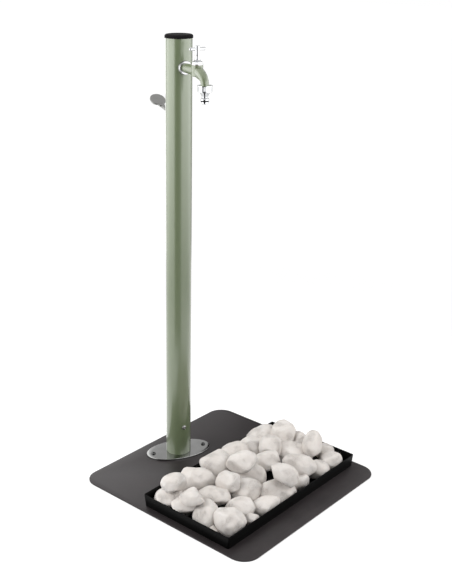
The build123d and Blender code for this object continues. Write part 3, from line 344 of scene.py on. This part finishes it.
marble = {"body": (0.63, 0.588, 0.552, 1), "pale": (0.71, 0.678, 0.648, 1),
          "cloudSize": 22.0, "cloudEdges": (0.35, 0.7),
          "vein": (0.50, 0.46, 0.43, 1), "veinSize": 30.0, "veinShare": 0.16, "veinEdges": (0.46, 0.5, 0.54),
          "pit": (0.46, 0.42, 0.39, 1), "pitSize": 420.0, "pitShare": 0.55, "pitEdges": (0.35, 0.55),
          "patchSize": 48.0, "patchEdges": (0.48, 0.62), "fineSize": 1500.0, "fineShare": 0.2,
          "relief": 0.8, "roughness": 0.65, "polish": 0.15, "bleed": 0.12}


# White marble, tumbled: chalky body, faint warm and grey clouds, pitted patches between smooth ones
def stoneMaterial():
    material, shader, surface = newMaterial("whiteMarble")
    place = shader.objectPlace()
    clouds = shader.noise(place, marble["cloudSize"], 6.0, 0.6)
    veins = shader.noise(place, marble["veinSize"], 8.0, 0.65, 1.2)
    pits = shader.noise(place, marble["pitSize"], 4.0, 0.7)
    patches = shader.mask(shader.noise(place, marble["patchSize"], 3.0), marble["patchEdges"])
    pitted = shader.mix(patches, 0.5, shader.mask(pits, marble["pitEdges"]))
    colour = shader.mix(shader.mask(clouds, marble["cloudEdges"]), marble["body"], marble["pale"])
    vein = shader.ramp(veins, list(zip(marble["veinEdges"], (0.0, 1.0, 0.0))))
    colour = shader.mix(shader.math("MULTIPLY", vein, marble["veinShare"]), colour, marble["vein"])
    dark = shader.math("MULTIPLY", shader.math("SUBTRACT", 1.0, pitted), patches)
    colour = shader.mix(shader.math("MULTIPLY", dark, marble["pitShare"]), colour, marble["pit"])
    fine = shader.noise(place, marble["fineSize"], 3.0)
    height = shader.math("MULTIPLY_ADD", fine, marble["fineShare"], pitted)
    rough = shader.math("MULTIPLY_ADD", pitted, -marble["polish"], marble["roughness"])
    surface.inputs["Subsurface Weight"].default_value = marble["bleed"]
    surface.inputs["Subsurface Radius"].default_value = (1.0, 0.85, 0.7)
    surface.inputs["Subsurface Scale"].default_value = 2 * mm
    connect(shader, surface, {
        "Base Color": colour, "Roughness": rough, "Normal": shader.bump(height, marble["relief"])})
    return material


paleDust = (0.34, 0.36, 0.27, 1)
evenLines = (500.0, 500.0, 500.0)
sagePaint = coatMaterial("sagePaint", (0.155, 0.194, 0.107, 1), (0.145, 0.182, 0.099, 1), paleDust,
                         0.34, 1400.0, 0.008, 0.04, coat=1.0)
tapEnamel = coatMaterial("tapEnamel", (0.160, 0.195, 0.110, 1), (0.148, 0.180, 0.100, 1), paleDust,
                         0.32, 900.0, 0.010, 0.03, coat=1.0)
plateCoat = coatMaterial("plateCoat", (0.018, 0.0148, 0.0158, 1), (0.024, 0.0195, 0.0205, 1),
                         (0.08, 0.075, 0.07, 1), 0.40, 620.0, 0.06, 0.12, shine=0.3)
trayCoat = coatMaterial("trayCoat", (0.002, 0.002, 0.002, 1), (0.0035, 0.0035, 0.0035, 1),
                        (0.05, 0.048, 0.045, 1), 0.40, 1300.0, 0.012, 0.03, shine=0.07)
capPlastic = mouldedMaterial("capPlastic", (0.0075, 0.007, 0.008, 1), (0.012, 0.011, 0.012, 1), 0.75,
                             dust=0.03, shine=0.04)
blackRubber = mouldedMaterial("blackRubber", (0.008, 0.008, 0.008, 1), (0.014, 0.014, 0.014, 1), 0.7,
                              shine=0.1)
paleFibre = mouldedMaterial("paleFibre", (0.42, 0.40, 0.33, 1), (0.36, 0.34, 0.28, 1), 0.75, 700.0, 0.05)
polishedSteel = metalMaterial("polishedSteel", (0.38, 0.38, 0.375, 1), (0.33, 0.33, 0.325, 1), 0.075, 0.05)
satinSteel = metalMaterial("satinSteel", (0.27, 0.27, 0.26, 1), (0.23, 0.23, 0.22, 1), 0.38, 0.12)
screwSteel = metalMaterial("screwSteel", (0.60, 0.60, 0.60, 1), (0.5, 0.5, 0.5, 1), 0.24, 0.1, evenLines)
darkScrew = metalMaterial("darkScrew", (0.13, 0.13, 0.13, 1), (0.07, 0.07, 0.07, 1), 0.3, 0.12, evenLines)
chromePlate = metalMaterial("chromePlate", (0.60, 0.61, 0.62, 1), (0.54, 0.55, 0.56, 1), 0.045, 0.03,
                            (700.0, 700.0, 90.0), 0.0008)
platedRose = metalMaterial("platedRose", (0.46, 0.46, 0.47, 1), (0.40, 0.40, 0.41, 1), 0.14, 0.06,
                           (700.0, 90.0, 700.0), 0.0008)
turnedBrass = metalMaterial("turnedBrass", (0.78, 0.56, 0.25, 1), (0.66, 0.46, 0.2, 1), 0.3, 0.16,
                            (300.0, 300.0, 2200.0))
drawnCopper = metalMaterial("drawnCopper", (0.80, 0.42, 0.28, 1), (0.6, 0.3, 0.2, 1), 0.32, 0.16,
                            (900.0, 900.0, 40.0))
whiteMarble = stoneMaterial()
print("materials made")


# Column: a tube with the head of its cap on top

columnTube = {"radius": 30.0, "wall": 2.0, "mouthRound": 0.5, "segments": 160}
cap = {"radius": 31.8, "edgeRound": 4.4, "plugRadius": 26.0, "plugDepth": 20.0, "plugWall": 2.2,
       "dish": 0.5, "dishRadius": 25.0, "dishSlope": 1.2, "dishRound": 0.5, "underside": 0.01}


def makeColumn():
    low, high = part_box("column_tube")
    length = (high[2] - low[2]) / mm
    inner = columnTube["radius"] - columnTube["wall"]
    outline = [(inner, 0), (columnTube["radius"], 0), (columnTube["radius"], length), (inner, length)]
    tube = turnedPiece("columnTube", outline, spot(0, low[2]), [(1, columnTube["mouthRound"])],
                       columnTube["segments"])
    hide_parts("column_tube")
    paint(tube, sagePaint)


def makeCap():
    foot = topOf("column_tube")
    height = (topOf("column_cap") - foot) / mm
    plug, wall, depth = cap["plugRadius"], cap["plugWall"], cap["plugDepth"]
    outline = [(0, height - cap["dish"]), (cap["dishRadius"], height - cap["dish"]),
               (cap["dishRadius"] + cap["dishSlope"], height), (cap["radius"], height), (cap["radius"], 0),
               (plug, 0), (plug, -depth), (plug - wall, -depth), (plug - wall, cap["underside"]),
               (0, cap["underside"])]
    bm = bmesh.new()
    corners = [bm.verts.new((radius * mm, 0, rise * mm)) for radius, rise in outline]
    for pair in zip(corners, corners[1:]):
        bm.edges.new(pair)
    for corner, radius, steps in ((3, cap["edgeRound"], 6), (2, cap["dishRound"], 2)):
        bmesh.ops.bevel(bm, geom=[corners[corner]], affect="VERTICES", offset=radius * mm, segments=steps,
                        profile=0.5, material=-1)
    bmesh.ops.spin(bm, geom=bm.verts[:] + bm.edges[:], cent=(0, 0, 0), axis=(0, 0, 1), angle=math.tau,
                   steps=columnTube["segments"], use_merge=True)
    bmesh.ops.remove_doubles(bm, verts=bm.verts, dist=mergeGap["turned"])
    bmesh.ops.recalc_face_normals(bm, faces=bm.faces)
    bmesh.ops.translate(bm, vec=spot(0, foot), verts=bm.verts)
    piece = linkPiece(bm, "columnCap")
    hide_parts("column_cap")
    paint(piece, capPlastic)


makeColumn()
makeCap()
print("column made")


# Base plate and tray: flat sheets with rounded corners

plate = {"corner": 40.0, "cornerSteps": 20, "edgeRound": 0.7, "supplyHole": 26.0, "insertHole": 9.04,
         "holeSteps": 64}
tray = {"corner": 4.0, "cornerSteps": 5, "wall": 1.5, "flare": 2.5, "rimRound": 0.45, "bevelFrom": 40}


# One flat face between two corners of a box, with round corners in mm
def roundedFace(bm, low, high, corner, steps):
    made = bmesh.ops.create_grid(bm, x_segments=1, y_segments=1, size=0.5)
    span = Vector((high[0] - low[0], high[1] - low[1], 1))
    bmesh.ops.scale(bm, vec=span, verts=made["verts"])
    middle = Vector(((low[0] + high[0]) / 2, (low[1] + high[1]) / 2, low[2]))
    bmesh.ops.translate(bm, vec=middle, verts=made["verts"])
    bmesh.ops.bevel(bm, geom=made["verts"], affect="VERTICES", offset=corner * mm, segments=steps,
                    profile=0.5, material=-1)


# Cuts round holes of (place, diameter in mm) down through a piece
def drill(piece, holes, depth):
    bm = bmesh.new()
    for place, diameter in holes:
        radius = diameter / 2 * mm
        made = bmesh.ops.create_cone(bm, cap_ends=True, segments=plate["holeSteps"], radius1=radius,
                                     radius2=radius, depth=depth)
        bmesh.ops.translate(bm, vec=place, verts=made["verts"])
    mesh = bpy.data.meshes.new("drills")
    bm.to_mesh(mesh)
    bm.free()
    cutter = bpy.data.objects.new("drills", mesh)
    bpy.context.scene.collection.objects.link(cutter)
    cut = piece.modifiers.new("holes", "BOOLEAN")
    cut.object = cutter
    cut.solver = "EXACT"
    applyModifiers(piece)
    bpy.data.objects.remove(cutter)


def makePlate():
    low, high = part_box("base_plate")
    bm = bmesh.new()
    roundedFace(bm, low, high, plate["corner"], plate["cornerSteps"])
    thickness = high[2] - low[2]
    raised = bmesh.ops.extrude_face_region(bm, geom=bm.faces[:])["geom"]
    bmesh.ops.translate(bm, vec=(0, 0, thickness), verts=vertsIn(raised))
    bmesh.ops.recalc_face_normals(bm, faces=bm.faces)
    # The rims of both faces are the edges that lie level
    rims = [edge for edge in bm.edges if abs(edge.verts[0].co.z - edge.verts[1].co.z) < mergeGap["node"]]
    bmesh.ops.bevel(bm, geom=rims, affect="EDGES", offset=plate["edgeRound"] * mm, segments=3, profile=0.5,
                    material=-1)
    piece = linkPiece(bm, "basePlate")
    lowInserts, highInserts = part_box("plate_inserts")
    inset = plate["insertHole"] / 2 * mm
    half = (highInserts[2] - lowInserts[2]) / 2
    holes = [(spot(0, thickness / 2), plate["supplyHole"])]
    holes.append((Vector((lowInserts[0] + inset, highInserts[1] - inset, half)), plate["insertHole"]))
    holes.append((Vector((highInserts[0] - inset, lowInserts[1] + inset, half)), plate["insertHole"]))
    drill(piece, holes, thickness * 3)
    shadeRound(piece.data)
    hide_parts("base_plate")
    paint(piece, plateCoat)


def makeTray():
    low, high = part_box("pebble_tray")
    flare = tray["flare"] * mm
    wall = tray["wall"] * mm
    bm = bmesh.new()
    roundedFace(bm, (low[0] + flare, low[1] + flare, low[2]), (high[0] - flare, high[1] - flare, high[2]),
                tray["corner"], tray["cornerSteps"])
    rim = [edge for edge in bm.edges if edge.is_boundary]
    made = bmesh.ops.extrude_edge_only(bm, edges=rim)["geom"]
    top = vertsIn(made)
    bmesh.ops.translate(bm, vec=(0, 0, high[2] - low[2]), verts=top)
    middle = Vector(((low[0] + high[0]) / 2, (low[1] + high[1]) / 2, 0))
    spread = Vector(((high[0] - low[0]) / (high[0] - low[0] - 2 * flare),
                     (high[1] - low[1]) / (high[1] - low[1] - 2 * flare), 1))
    bmesh.ops.scale(bm, vec=spread, space=Matrix.Translation(-middle), verts=top)
    bmesh.ops.recalc_face_normals(bm, faces=bm.faces)
    if max(bm.faces, key=lambda face: face.calc_area()).normal.z > 0:
        bmesh.ops.reverse_faces(bm, faces=bm.faces)
    piece = linkPiece(bm, "pebbleTray")
    sheet = piece.modifiers.new("sheet", "SOLIDIFY")
    sheet.thickness = wall
    sheet.offset = -1
    sheet.use_even_offset = True
    edges = piece.modifiers.new("edges", "BEVEL")
    edges.width = tray["rimRound"] * mm
    edges.segments = 3
    edges.limit_method = "ANGLE"
    edges.angle_limit = math.radians(tray["bevelFrom"])
    applyModifiers(piece)
    shadeRound(piece.data)
    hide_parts("pebble_tray")
    paint(piece, trayCoat)


makePlate()
makeTray()
print("plate and tray made")


# Pebbles: each grows from the CAD stone that it stands for, with its corners worn off

stone = {"swell": 1.08, "hiddenSwell": 1.25, "softness": 30.0, "facets": 7, "facetLevels": (0.62, 0.92),
         "lump": 0.12, "lumpSize": 0.034, "dent": 0.03, "dentSize": 0.012,
         "shownSteps": 5, "hiddenSteps": 4, "hiddenShare": 0.30, "placeDigits": 5}
# How far each stone's own pattern moves on, per stone and per facet
strides = {"angle": (2.399, 1.9), "rise": (1.7, 2.3), "level": (2.9, 4.1), "lumps": (7.13, 3.71, 11.0)}


# The connected solids of a mesh, as lists of faces
def islandsOf(bm):
    unseen = set(bm.faces)
    islands = []
    for first in bm.faces:
        if first not in unseen:
            continue
        unseen.remove(first)
        ready = [first]
        island = []
        while ready:
            face = ready.pop()
            island.append(face)
            for edge in face.edges:
                for other in edge.link_faces:
                    if other in unseen:
                        unseen.remove(other)
                        ready.append(other)
        islands.append(island)
    return islands


def middleOfFaces(faces):
    verts = dict.fromkeys(vert for face in faces for vert in face.verts)
    return sum((vert.co for vert in verts), Vector()) / len(verts)


# A steady direction for a stone's own number
def ownDirection(number, turn):
    angle = number * strides["angle"][0] + turn * strides["angle"][1]
    rise = math.sin(number * strides["rise"][0] + turn * strides["rise"][1])
    level = math.sqrt(max(0.0, 1 - rise * rise))
    return Vector((math.cos(angle) * level, math.sin(angle) * level, rise))


# A ball pressed against the planes of the CAD stone and a few of its own, with lumps and dents
def growStone(bm, faces, middle, number, steps, swell, low, high):
    normals = [face.normal.copy() for face in faces]
    depths = [face.normal.dot(face.verts[0].co - middle) for face in faces]
    corners = [vert.co - middle for face in faces for vert in face.verts]
    deepest, slightest = stone["facetLevels"]
    for turn in range(stone["facets"]):
        normal = ownDirection(number, turn)
        normals.append(normal)
        swing = math.sin(number * strides["level"][0] + turn * strides["level"][1])
        level = deepest + (slightest - deepest) * (0.5 + 0.5 * swing)
        depths.append(max(corner.dot(normal) for corner in corners) * level)
    ball = bmesh.ops.create_icosphere(bm, subdivisions=steps, radius=1)["verts"]
    ways = np.array([tuple(vert.co) for vert in ball])
    press = np.clip(ways @ np.array(normals).T / np.array(depths), 0, None)
    worn = (press ** stone["softness"]).sum(axis=1) ** (-1 / stone["softness"])
    sharp = 1 / press[:, :len(faces)].max(axis=1)
    size = float(sharp.mean())
    reaches = worn * (size / worn.mean() * swell)
    across, along, seed = strides["lumps"]
    shift = Vector((number * across, number * along, seed))
    for vert, reach in zip(ball, reaches):
        away = vert.co * float(reach)
        lump = noise.noise(away / stone["lumpSize"] + shift) * stone["lump"]
        dent = noise.noise(away / stone["dentSize"] + shift) * stone["dent"]
        vert.co = middle + away + vert.co * size * (lump + dent)
        keepInTray(vert.co, low, high)


# A stone doesn't pass through the tray's floor and sides
def keepInTray(place, low, high):
    floor = low.z + tray["wall"] * mm
    place.z = max(place.z, floor)
    if place.z < high.z:
        lean = tray["flare"] * mm * (high.z - place.z) / (high.z - low.z) + tray["wall"] * mm
        place.x = min(max(place.x, low.x + lean), high.x - lean)
        place.y = min(max(place.y, low.y + lean), high.y - lean)


def makePebbles():
    cast = copyOfNode("pebbles")
    bmesh.ops.dissolve_limit(cast, angle_limit=math.radians(0.5), verts=cast.verts, edges=cast.edges)
    stones = [(middleOfFaces(faces), faces) for faces in islandsOf(cast)]
    stones.sort(key=lambda item: tuple(round(value, stone["placeDigits"]) for value in item[0].xy))
    hiddenBelow = footOf("pebbles") + (topOf("pebbles") - footOf("pebbles")) * stone["hiddenShare"]
    low, high = (Vector(corner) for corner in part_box("pebble_tray"))
    bm = bmesh.new()
    for number, (middle, faces) in enumerate(stones):
        if middle.z < hiddenBelow:
            steps, swell = stone["hiddenSteps"], stone["hiddenSwell"]
        else:
            steps, swell = stone["shownSteps"], stone["swell"]
        growStone(bm, faces, middle, number, steps, swell, low, high)
    cast.free()
    piece = linkPiece(bm, "pebbleStones", creaseAngle=creaseAngles["stones"])
    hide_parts("pebbles")
    paint(piece, whiteMarble)
    print(len(stones), "stones,", len(piece.data.polygons), "faces")


makePebbles()
print("pebbles made")


# Tap body: the casting's corners run into each other in soft blends

casting = {"voxel": 0.55, "smoothing": 5, "share": 0.5}


def makeTapBody():
    piece = linkPiece(copyOfNode("tap_body"), "tapBody")
    fine = piece.modifiers.new("fine", "REMESH")
    fine.mode = "VOXEL"
    fine.voxel_size = casting["voxel"] * mm
    soft = piece.modifiers.new("soft", "SMOOTH")
    soft.factor = casting["share"]
    soft.iterations = casting["smoothing"]
    applyModifiers(piece)
    smoothFaces(piece.data)
    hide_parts("tap_body")
    paint(piece, tapEnamel)


makeTapBody()
print("tap body made")


# Hose hook's plate: a narrow tab that bends up into a round lip

hookPlate = {"tabSlope": 11.0, "tabLength": 15.0, "tabWidth": 14.0, "lipSlope": 36.0, "lipLength": 31.0,
             "lipWidth": 37.5, "lipPower": 2.2, "bend": 5.0, "thickness": 3.0, "edgeRound": 0.5,
             "bevelFrom": 50, "margin": 0.2, "stepsAlong": 60, "stepsAcross": 16}


# Width in mm at a distance along the plate: the tab's own, or the round lip's where that is wider
def hookWidth(along):
    lipMiddle = hookPlate["tabLength"] + hookPlate["lipLength"] / 2 - hookPlate["bend"] / 2
    half = hookPlate["tabLength"] + hookPlate["lipLength"] - lipMiddle
    off = min(1.0, abs(along - lipMiddle) / half)
    lip = hookPlate["lipWidth"] * math.sqrt(max(0.0, 1 - off ** hookPlate["lipPower"]))
    return max(lip, hookPlate["tabWidth"]) if along < lipMiddle else lip


def makeHookPlate():
    backWay = -tapWay
    reaches = [(vert.co - columnMiddle).dot(backWay) for vert in nodes["hook_plate"].data.vertices]
    steps = hookPlate["stepsAlong"]
    total = hookPlate["tabLength"] + hookPlate["lipLength"]
    bm = bmesh.new()
    bmesh.ops.create_grid(bm, x_segments=steps, y_segments=hookPlate["stepsAcross"], size=0.5)
    line = [Vector((0, 0))]
    for step in range(steps):
        along = (step + 0.5) / steps * total
        turned = min(1.0, max(0.0, (along - hookPlate["tabLength"]) / hookPlate["bend"] + 0.5))
        rise = hookPlate["lipSlope"] - hookPlate["tabSlope"]
        slope = math.radians(hookPlate["tabSlope"] + rise * turned)
        line.append(line[-1] + Vector((math.cos(slope), math.sin(slope))) * total / steps)
    stretch = (max(reaches) - min(reaches) - hookPlate["margin"] * mm) / (line[-1].x * mm)
    start = spot(0, footOf("hook_plate")) + backWay * min(reaches)
    for vert in bm.verts:
        step = round((vert.co.x + 0.5) * steps)
        place = line[step] * mm * min(1.0, stretch)
        across = vert.co.y * hookWidth(step / steps * total) * mm
        vert.co = start + backWay * place.x + upWay * place.y + sideWay * across
    bmesh.ops.remove_doubles(bm, verts=bm.verts, dist=mergeGap["hook"])
    bmesh.ops.recalc_face_normals(bm, faces=bm.faces)
    if sum(face.normal.z for face in bm.faces) < 0:
        bmesh.ops.reverse_faces(bm, faces=bm.faces)
    piece = linkPiece(bm, "hookPlate")
    sheet = piece.modifiers.new("sheet", "SOLIDIFY")
    sheet.thickness = hookPlate["thickness"] * mm
    sheet.offset = 1
    edges = piece.modifiers.new("edges", "BEVEL")
    edges.width = hookPlate["edgeRound"] * mm
    edges.segments = 2
    edges.limit_method = "ANGLE"
    edges.angle_limit = math.radians(hookPlate["bevelFrom"])
    applyModifiers(piece)
    shadeRound(piece.data, creaseAngles["hook"])
    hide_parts("hook_plate")
    paint(piece, satinSteel)


makeHookPlate()
print("hook plate made")


# Nozzle seal: a black rubber band that fills the groove over the tip

nozzleSeal = {"inner": 6.45, "outer": 8.72, "height": 3.2, "edgeRound": 0.9, "segments": 64}


def makeNozzleSeal():
    inner, outer, half = nozzleSeal["inner"], nozzleSeal["outer"], nozzleSeal["height"] / 2
    outline = [(inner, -half), (outer, -half), (outer, half), (inner, half)]
    rounds = [(1, nozzleSeal["edgeRound"]), (2, nozzleSeal["edgeRound"])]
    seal = turnedPiece("nozzleSeal", outline, middleOf("nozzle_ring"), rounds,
                       nozzleSeal["segments"])
    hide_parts("nozzle_ring")
    paint(seal, blackRubber)


makeNozzleSeal()
print("nozzle seal made")


# CAD nodes that are seen as they are, each with its material

finishes = {
    "column_flange": polishedSteel, "flange_screws": darkScrew, "column_screw": polishedSteel,
    "plate_inserts": screwSteel, "inlet_adapter": turnedBrass, "riser_pipe": drawnCopper,
    "riser_nuts": turnedBrass, "riser_olives": turnedBrass, "tap_elbow": turnedBrass,
    "tail_washer": paleFibre, "tap_rosette": platedRose, "bonnet_washer": paleFibre,
    "tap_bonnet": chromePlate, "tap_spindle": turnedBrass, "packing_ring": blackRubber,
    "tap_handle": chromePlate, "handle_screw": chromePlate, "valve_jumper": turnedBrass,
    "seat_washer": blackRubber, "washer_nut": turnedBrass, "union_nut": chromePlate,
    "union_washer": blackRubber, "hose_nozzle": chromePlate,
    "hook_stem": satinSteel, "hook_nut": screwSteel,
}
for node, material in finishes.items():
    dressNode(node, material)
print("metal pieces dressed")


# Studio: the camera, a pale floor, lamps that light what is matt, and walls that only gloss sees

shot = {"azimuth": -48.09, "elevation": 16.81, "distance": 2.33404, "target": (0.0603, 0.55935),
        "focalPixels": 981.71, "photoHeight": 584, "middleShift": (-30.04, -60.06), "roll": 0.36}
lamps = [
    {"name": "leftLamp", "azimuth": -112, "elevation": 22, "distance": 2.0, "size": (1.3, 1.6), "power": 36},
    {"name": "rightLamp", "azimuth": 20, "elevation": 25, "distance": 2.0, "size": (1.3, 1.4), "power": 24},
    {"name": "topLamp", "azimuth": 170, "elevation": 70, "distance": 2.2, "size": (1.4, 1.2), "power": 14},
]
lampAim = (0.0, 0.12, 0.55)
room = {"diffuse": 0.45, "floorGlow": 0.30, "floorSize": 30.0, "floorDrop": 0.0004, "floorColour": 0.8,
        "fadeStart": 0.5, "fadeEnd": 1.6}
# Soft boxes beside and behind the column, dark cloth in front and behind. Azimuths in degrees, top in
# metres, radii in metres at the foot and at the top, levels of light at the foot and from levelHeight up
walls = [
    {"name": "leftBox", "from": -168, "to": -83, "radii": (0.80, 0.85), "top": 1.4, "levels": (0.9, 2.9)},
    {"name": "rightBox", "from": -26, "to": 70, "radii": (0.85, 0.85), "top": 1.4, "levels": (0.6, 2.8)},
    {"name": "frontCloth", "from": -83, "to": -44, "radii": (0.52, 1.0), "top": 2.0, "levels": (0.08, 0.02)},
    {"name": "frontVeil", "from": -44, "to": -26, "radii": (0.52, 1.0), "top": 2.0, "levels": (0.11, 0.28)},
    {"name": "rearCloth", "from": 97, "to": 124, "radii": (1.5, 1.5), "top": 1.5, "levels": (0.02, 0.02)},
    {"name": "rearVeil", "from": 124, "to": 140, "radii": (1.5, 1.5), "top": 1.4, "levels": (0.66, 0.66)},
    {"name": "rearBox", "from": 142, "to": 168, "radii": (1.5, 1.5), "top": 1.4, "levels": (1.8, 1.8)},
]
# Height in metres at which a wall reaches its upper level
levelHeight = 0.8
wallSteps = 24


def towards(azimuth, elevation):
    across, up = math.radians(azimuth), math.radians(elevation)
    return Vector((math.sin(across) * math.cos(up), -math.cos(across) * math.cos(up), math.sin(up)))


def makeCamera():
    back = towards(shot["azimuth"], shot["elevation"])
    right = Vector((math.cos(math.radians(shot["azimuth"])), math.sin(math.radians(shot["azimuth"])), 0))
    roll = math.radians(shot["roll"])
    up = back.cross(right)
    right, up = right * math.cos(roll) + up * math.sin(roll), up * math.cos(roll) - right * math.sin(roll)
    target = Vector((shot["target"][0], columnMiddle.y, shot["target"][1]))
    data = bpy.data.cameras.new("camera")
    data.lens = data.sensor_width * shot["focalPixels"] / shot["photoHeight"]
    data.shift_x = -shot["middleShift"][0] / shot["photoHeight"]
    data.shift_y = shot["middleShift"][1] / shot["photoHeight"]
    data.clip_end = 100
    camera = bpy.data.objects.new("camera", data)
    bpy.context.scene.collection.objects.link(camera)
    turn = Matrix((right, up, back)).transposed()
    camera.matrix_world = Matrix.Translation(target + back * shot["distance"]) @ turn.to_4x4()
    bpy.context.scene.camera = camera


# One where the background is looked at, seen in gloss or seen through, and nought elsewhere
def seenDirectly(shader):
    path = shader.add("ShaderNodeLightPath").outputs
    seen = shader.math("MAXIMUM", path["Is Camera Ray"], path["Is Glossy Ray"])
    return shader.math("MAXIMUM", seen, path["Is Transmission Ray"])


def makeRoom():
    world = bpy.data.worlds.new("studio")
    bpy.context.scene.world = world
    world.use_nodes = True
    world.node_tree.nodes.clear()
    shader = Shader(world.node_tree)
    level = shader.math("MULTIPLY_ADD", seenDirectly(shader), 1.0 - room["diffuse"], room["diffuse"])
    light = shader.add("ShaderNodeBackground", {"Color": (1, 1, 1, 1), "Strength": level})
    out = shader.add("ShaderNodeOutputWorld")
    world.node_tree.links.new(light.outputs[0], out.inputs["Surface"])

    bm = bmesh.new()
    bmesh.ops.create_grid(bm, x_segments=1, y_segments=1, size=room["floorSize"] / 2)
    bmesh.ops.translate(bm, vec=(0, 0, -room["floorDrop"]), verts=bm.verts)
    floor = linkPiece(bm, "floor", body=None)
    material, shader, surface = newMaterial("paleFloor")
    away = shader.add("ShaderNodeVectorMath", {0: shader.objectPlace()}, operation="LENGTH")
    far = shader.add("ShaderNodeMapRange", {
        "Value": away.outputs["Value"], "From Min": room["fadeStart"],
        "From Max": room["fadeEnd"]}).outputs[0]
    glow = shader.math("MULTIPLY_ADD", far, 1.0 - room["floorGlow"], room["floorGlow"])
    surface.inputs["Roughness"].default_value = 0.9
    surface.inputs["Specular IOR Level"].default_value = 0.1
    surface.inputs["Emission Color"].default_value = (1, 1, 1, 1)
    connect(shader, surface, {"Base Color": shader.mix(far, room["floorColour"], 0.0),
                              "Emission Strength": shader.math("MULTIPLY", seenDirectly(shader), glow)})
    paint(floor, material)


def makeLamps():
    for lamp in lamps:
        data = bpy.data.lights.new(lamp["name"], "AREA")
        data.shape = "RECTANGLE"
        data.size, data.size_y = lamp["size"]
        data.energy = lamp["power"]
        item = bpy.data.objects.new(lamp["name"], data)
        bpy.context.scene.collection.objects.link(item)
        away = towards(lamp["azimuth"], lamp["elevation"])
        item.location = Vector(lampAim) + away * lamp["distance"]
        item.rotation_euler = away.to_track_quat("Z", "Y").to_euler()
        item.visible_camera = False
        item.visible_glossy = False


def makeWalls():
    for wall in walls:
        bm = bmesh.new()
        footRadius, topRadius = wall["radii"]
        start = towards(wall["from"], 0)
        ends = [bm.verts.new(start * footRadius),
                bm.verts.new(start * topRadius + upWay * wall["top"])]
        bmesh.ops.spin(bm, geom=ends + [bm.edges.new(ends)], cent=(0, 0, 0), axis=(0, 0, 1),
                       angle=math.radians(wall["to"] - wall["from"]), steps=wallSteps)
        bmesh.ops.translate(bm, vec=spot(0, 0), verts=bm.verts)
        item = linkPiece(bm, wall["name"], body=None)
        material, shader, surface = newMaterial(wall["name"])
        surface.inputs["Base Color"].default_value = (0, 0, 0, 1)
        surface.inputs["Specular IOR Level"].default_value = 0.0
        surface.inputs["Emission Color"].default_value = (1, 1, 1, 1)
        height = shader.add("ShaderNodeSeparateXYZ", {"Vector": shader.objectPlace()}).outputs["Z"]
        level = shader.add("ShaderNodeMapRange", {
            "Value": height, "From Min": 0.0, "From Max": levelHeight,
            "To Min": wall["levels"][0], "To Max": wall["levels"][1]}).outputs[0]
        connect(shader, surface, {"Emission Strength": level})
        paint(item, material)
        item.visible_camera = False
        item.visible_diffuse = False
        item.visible_shadow = False
        item.visible_transmission = False


makeCamera()
makeRoom()
makeLamps()
makeWalls()
bpy.context.scene.view_settings.view_transform = "Standard"
print("studio made")
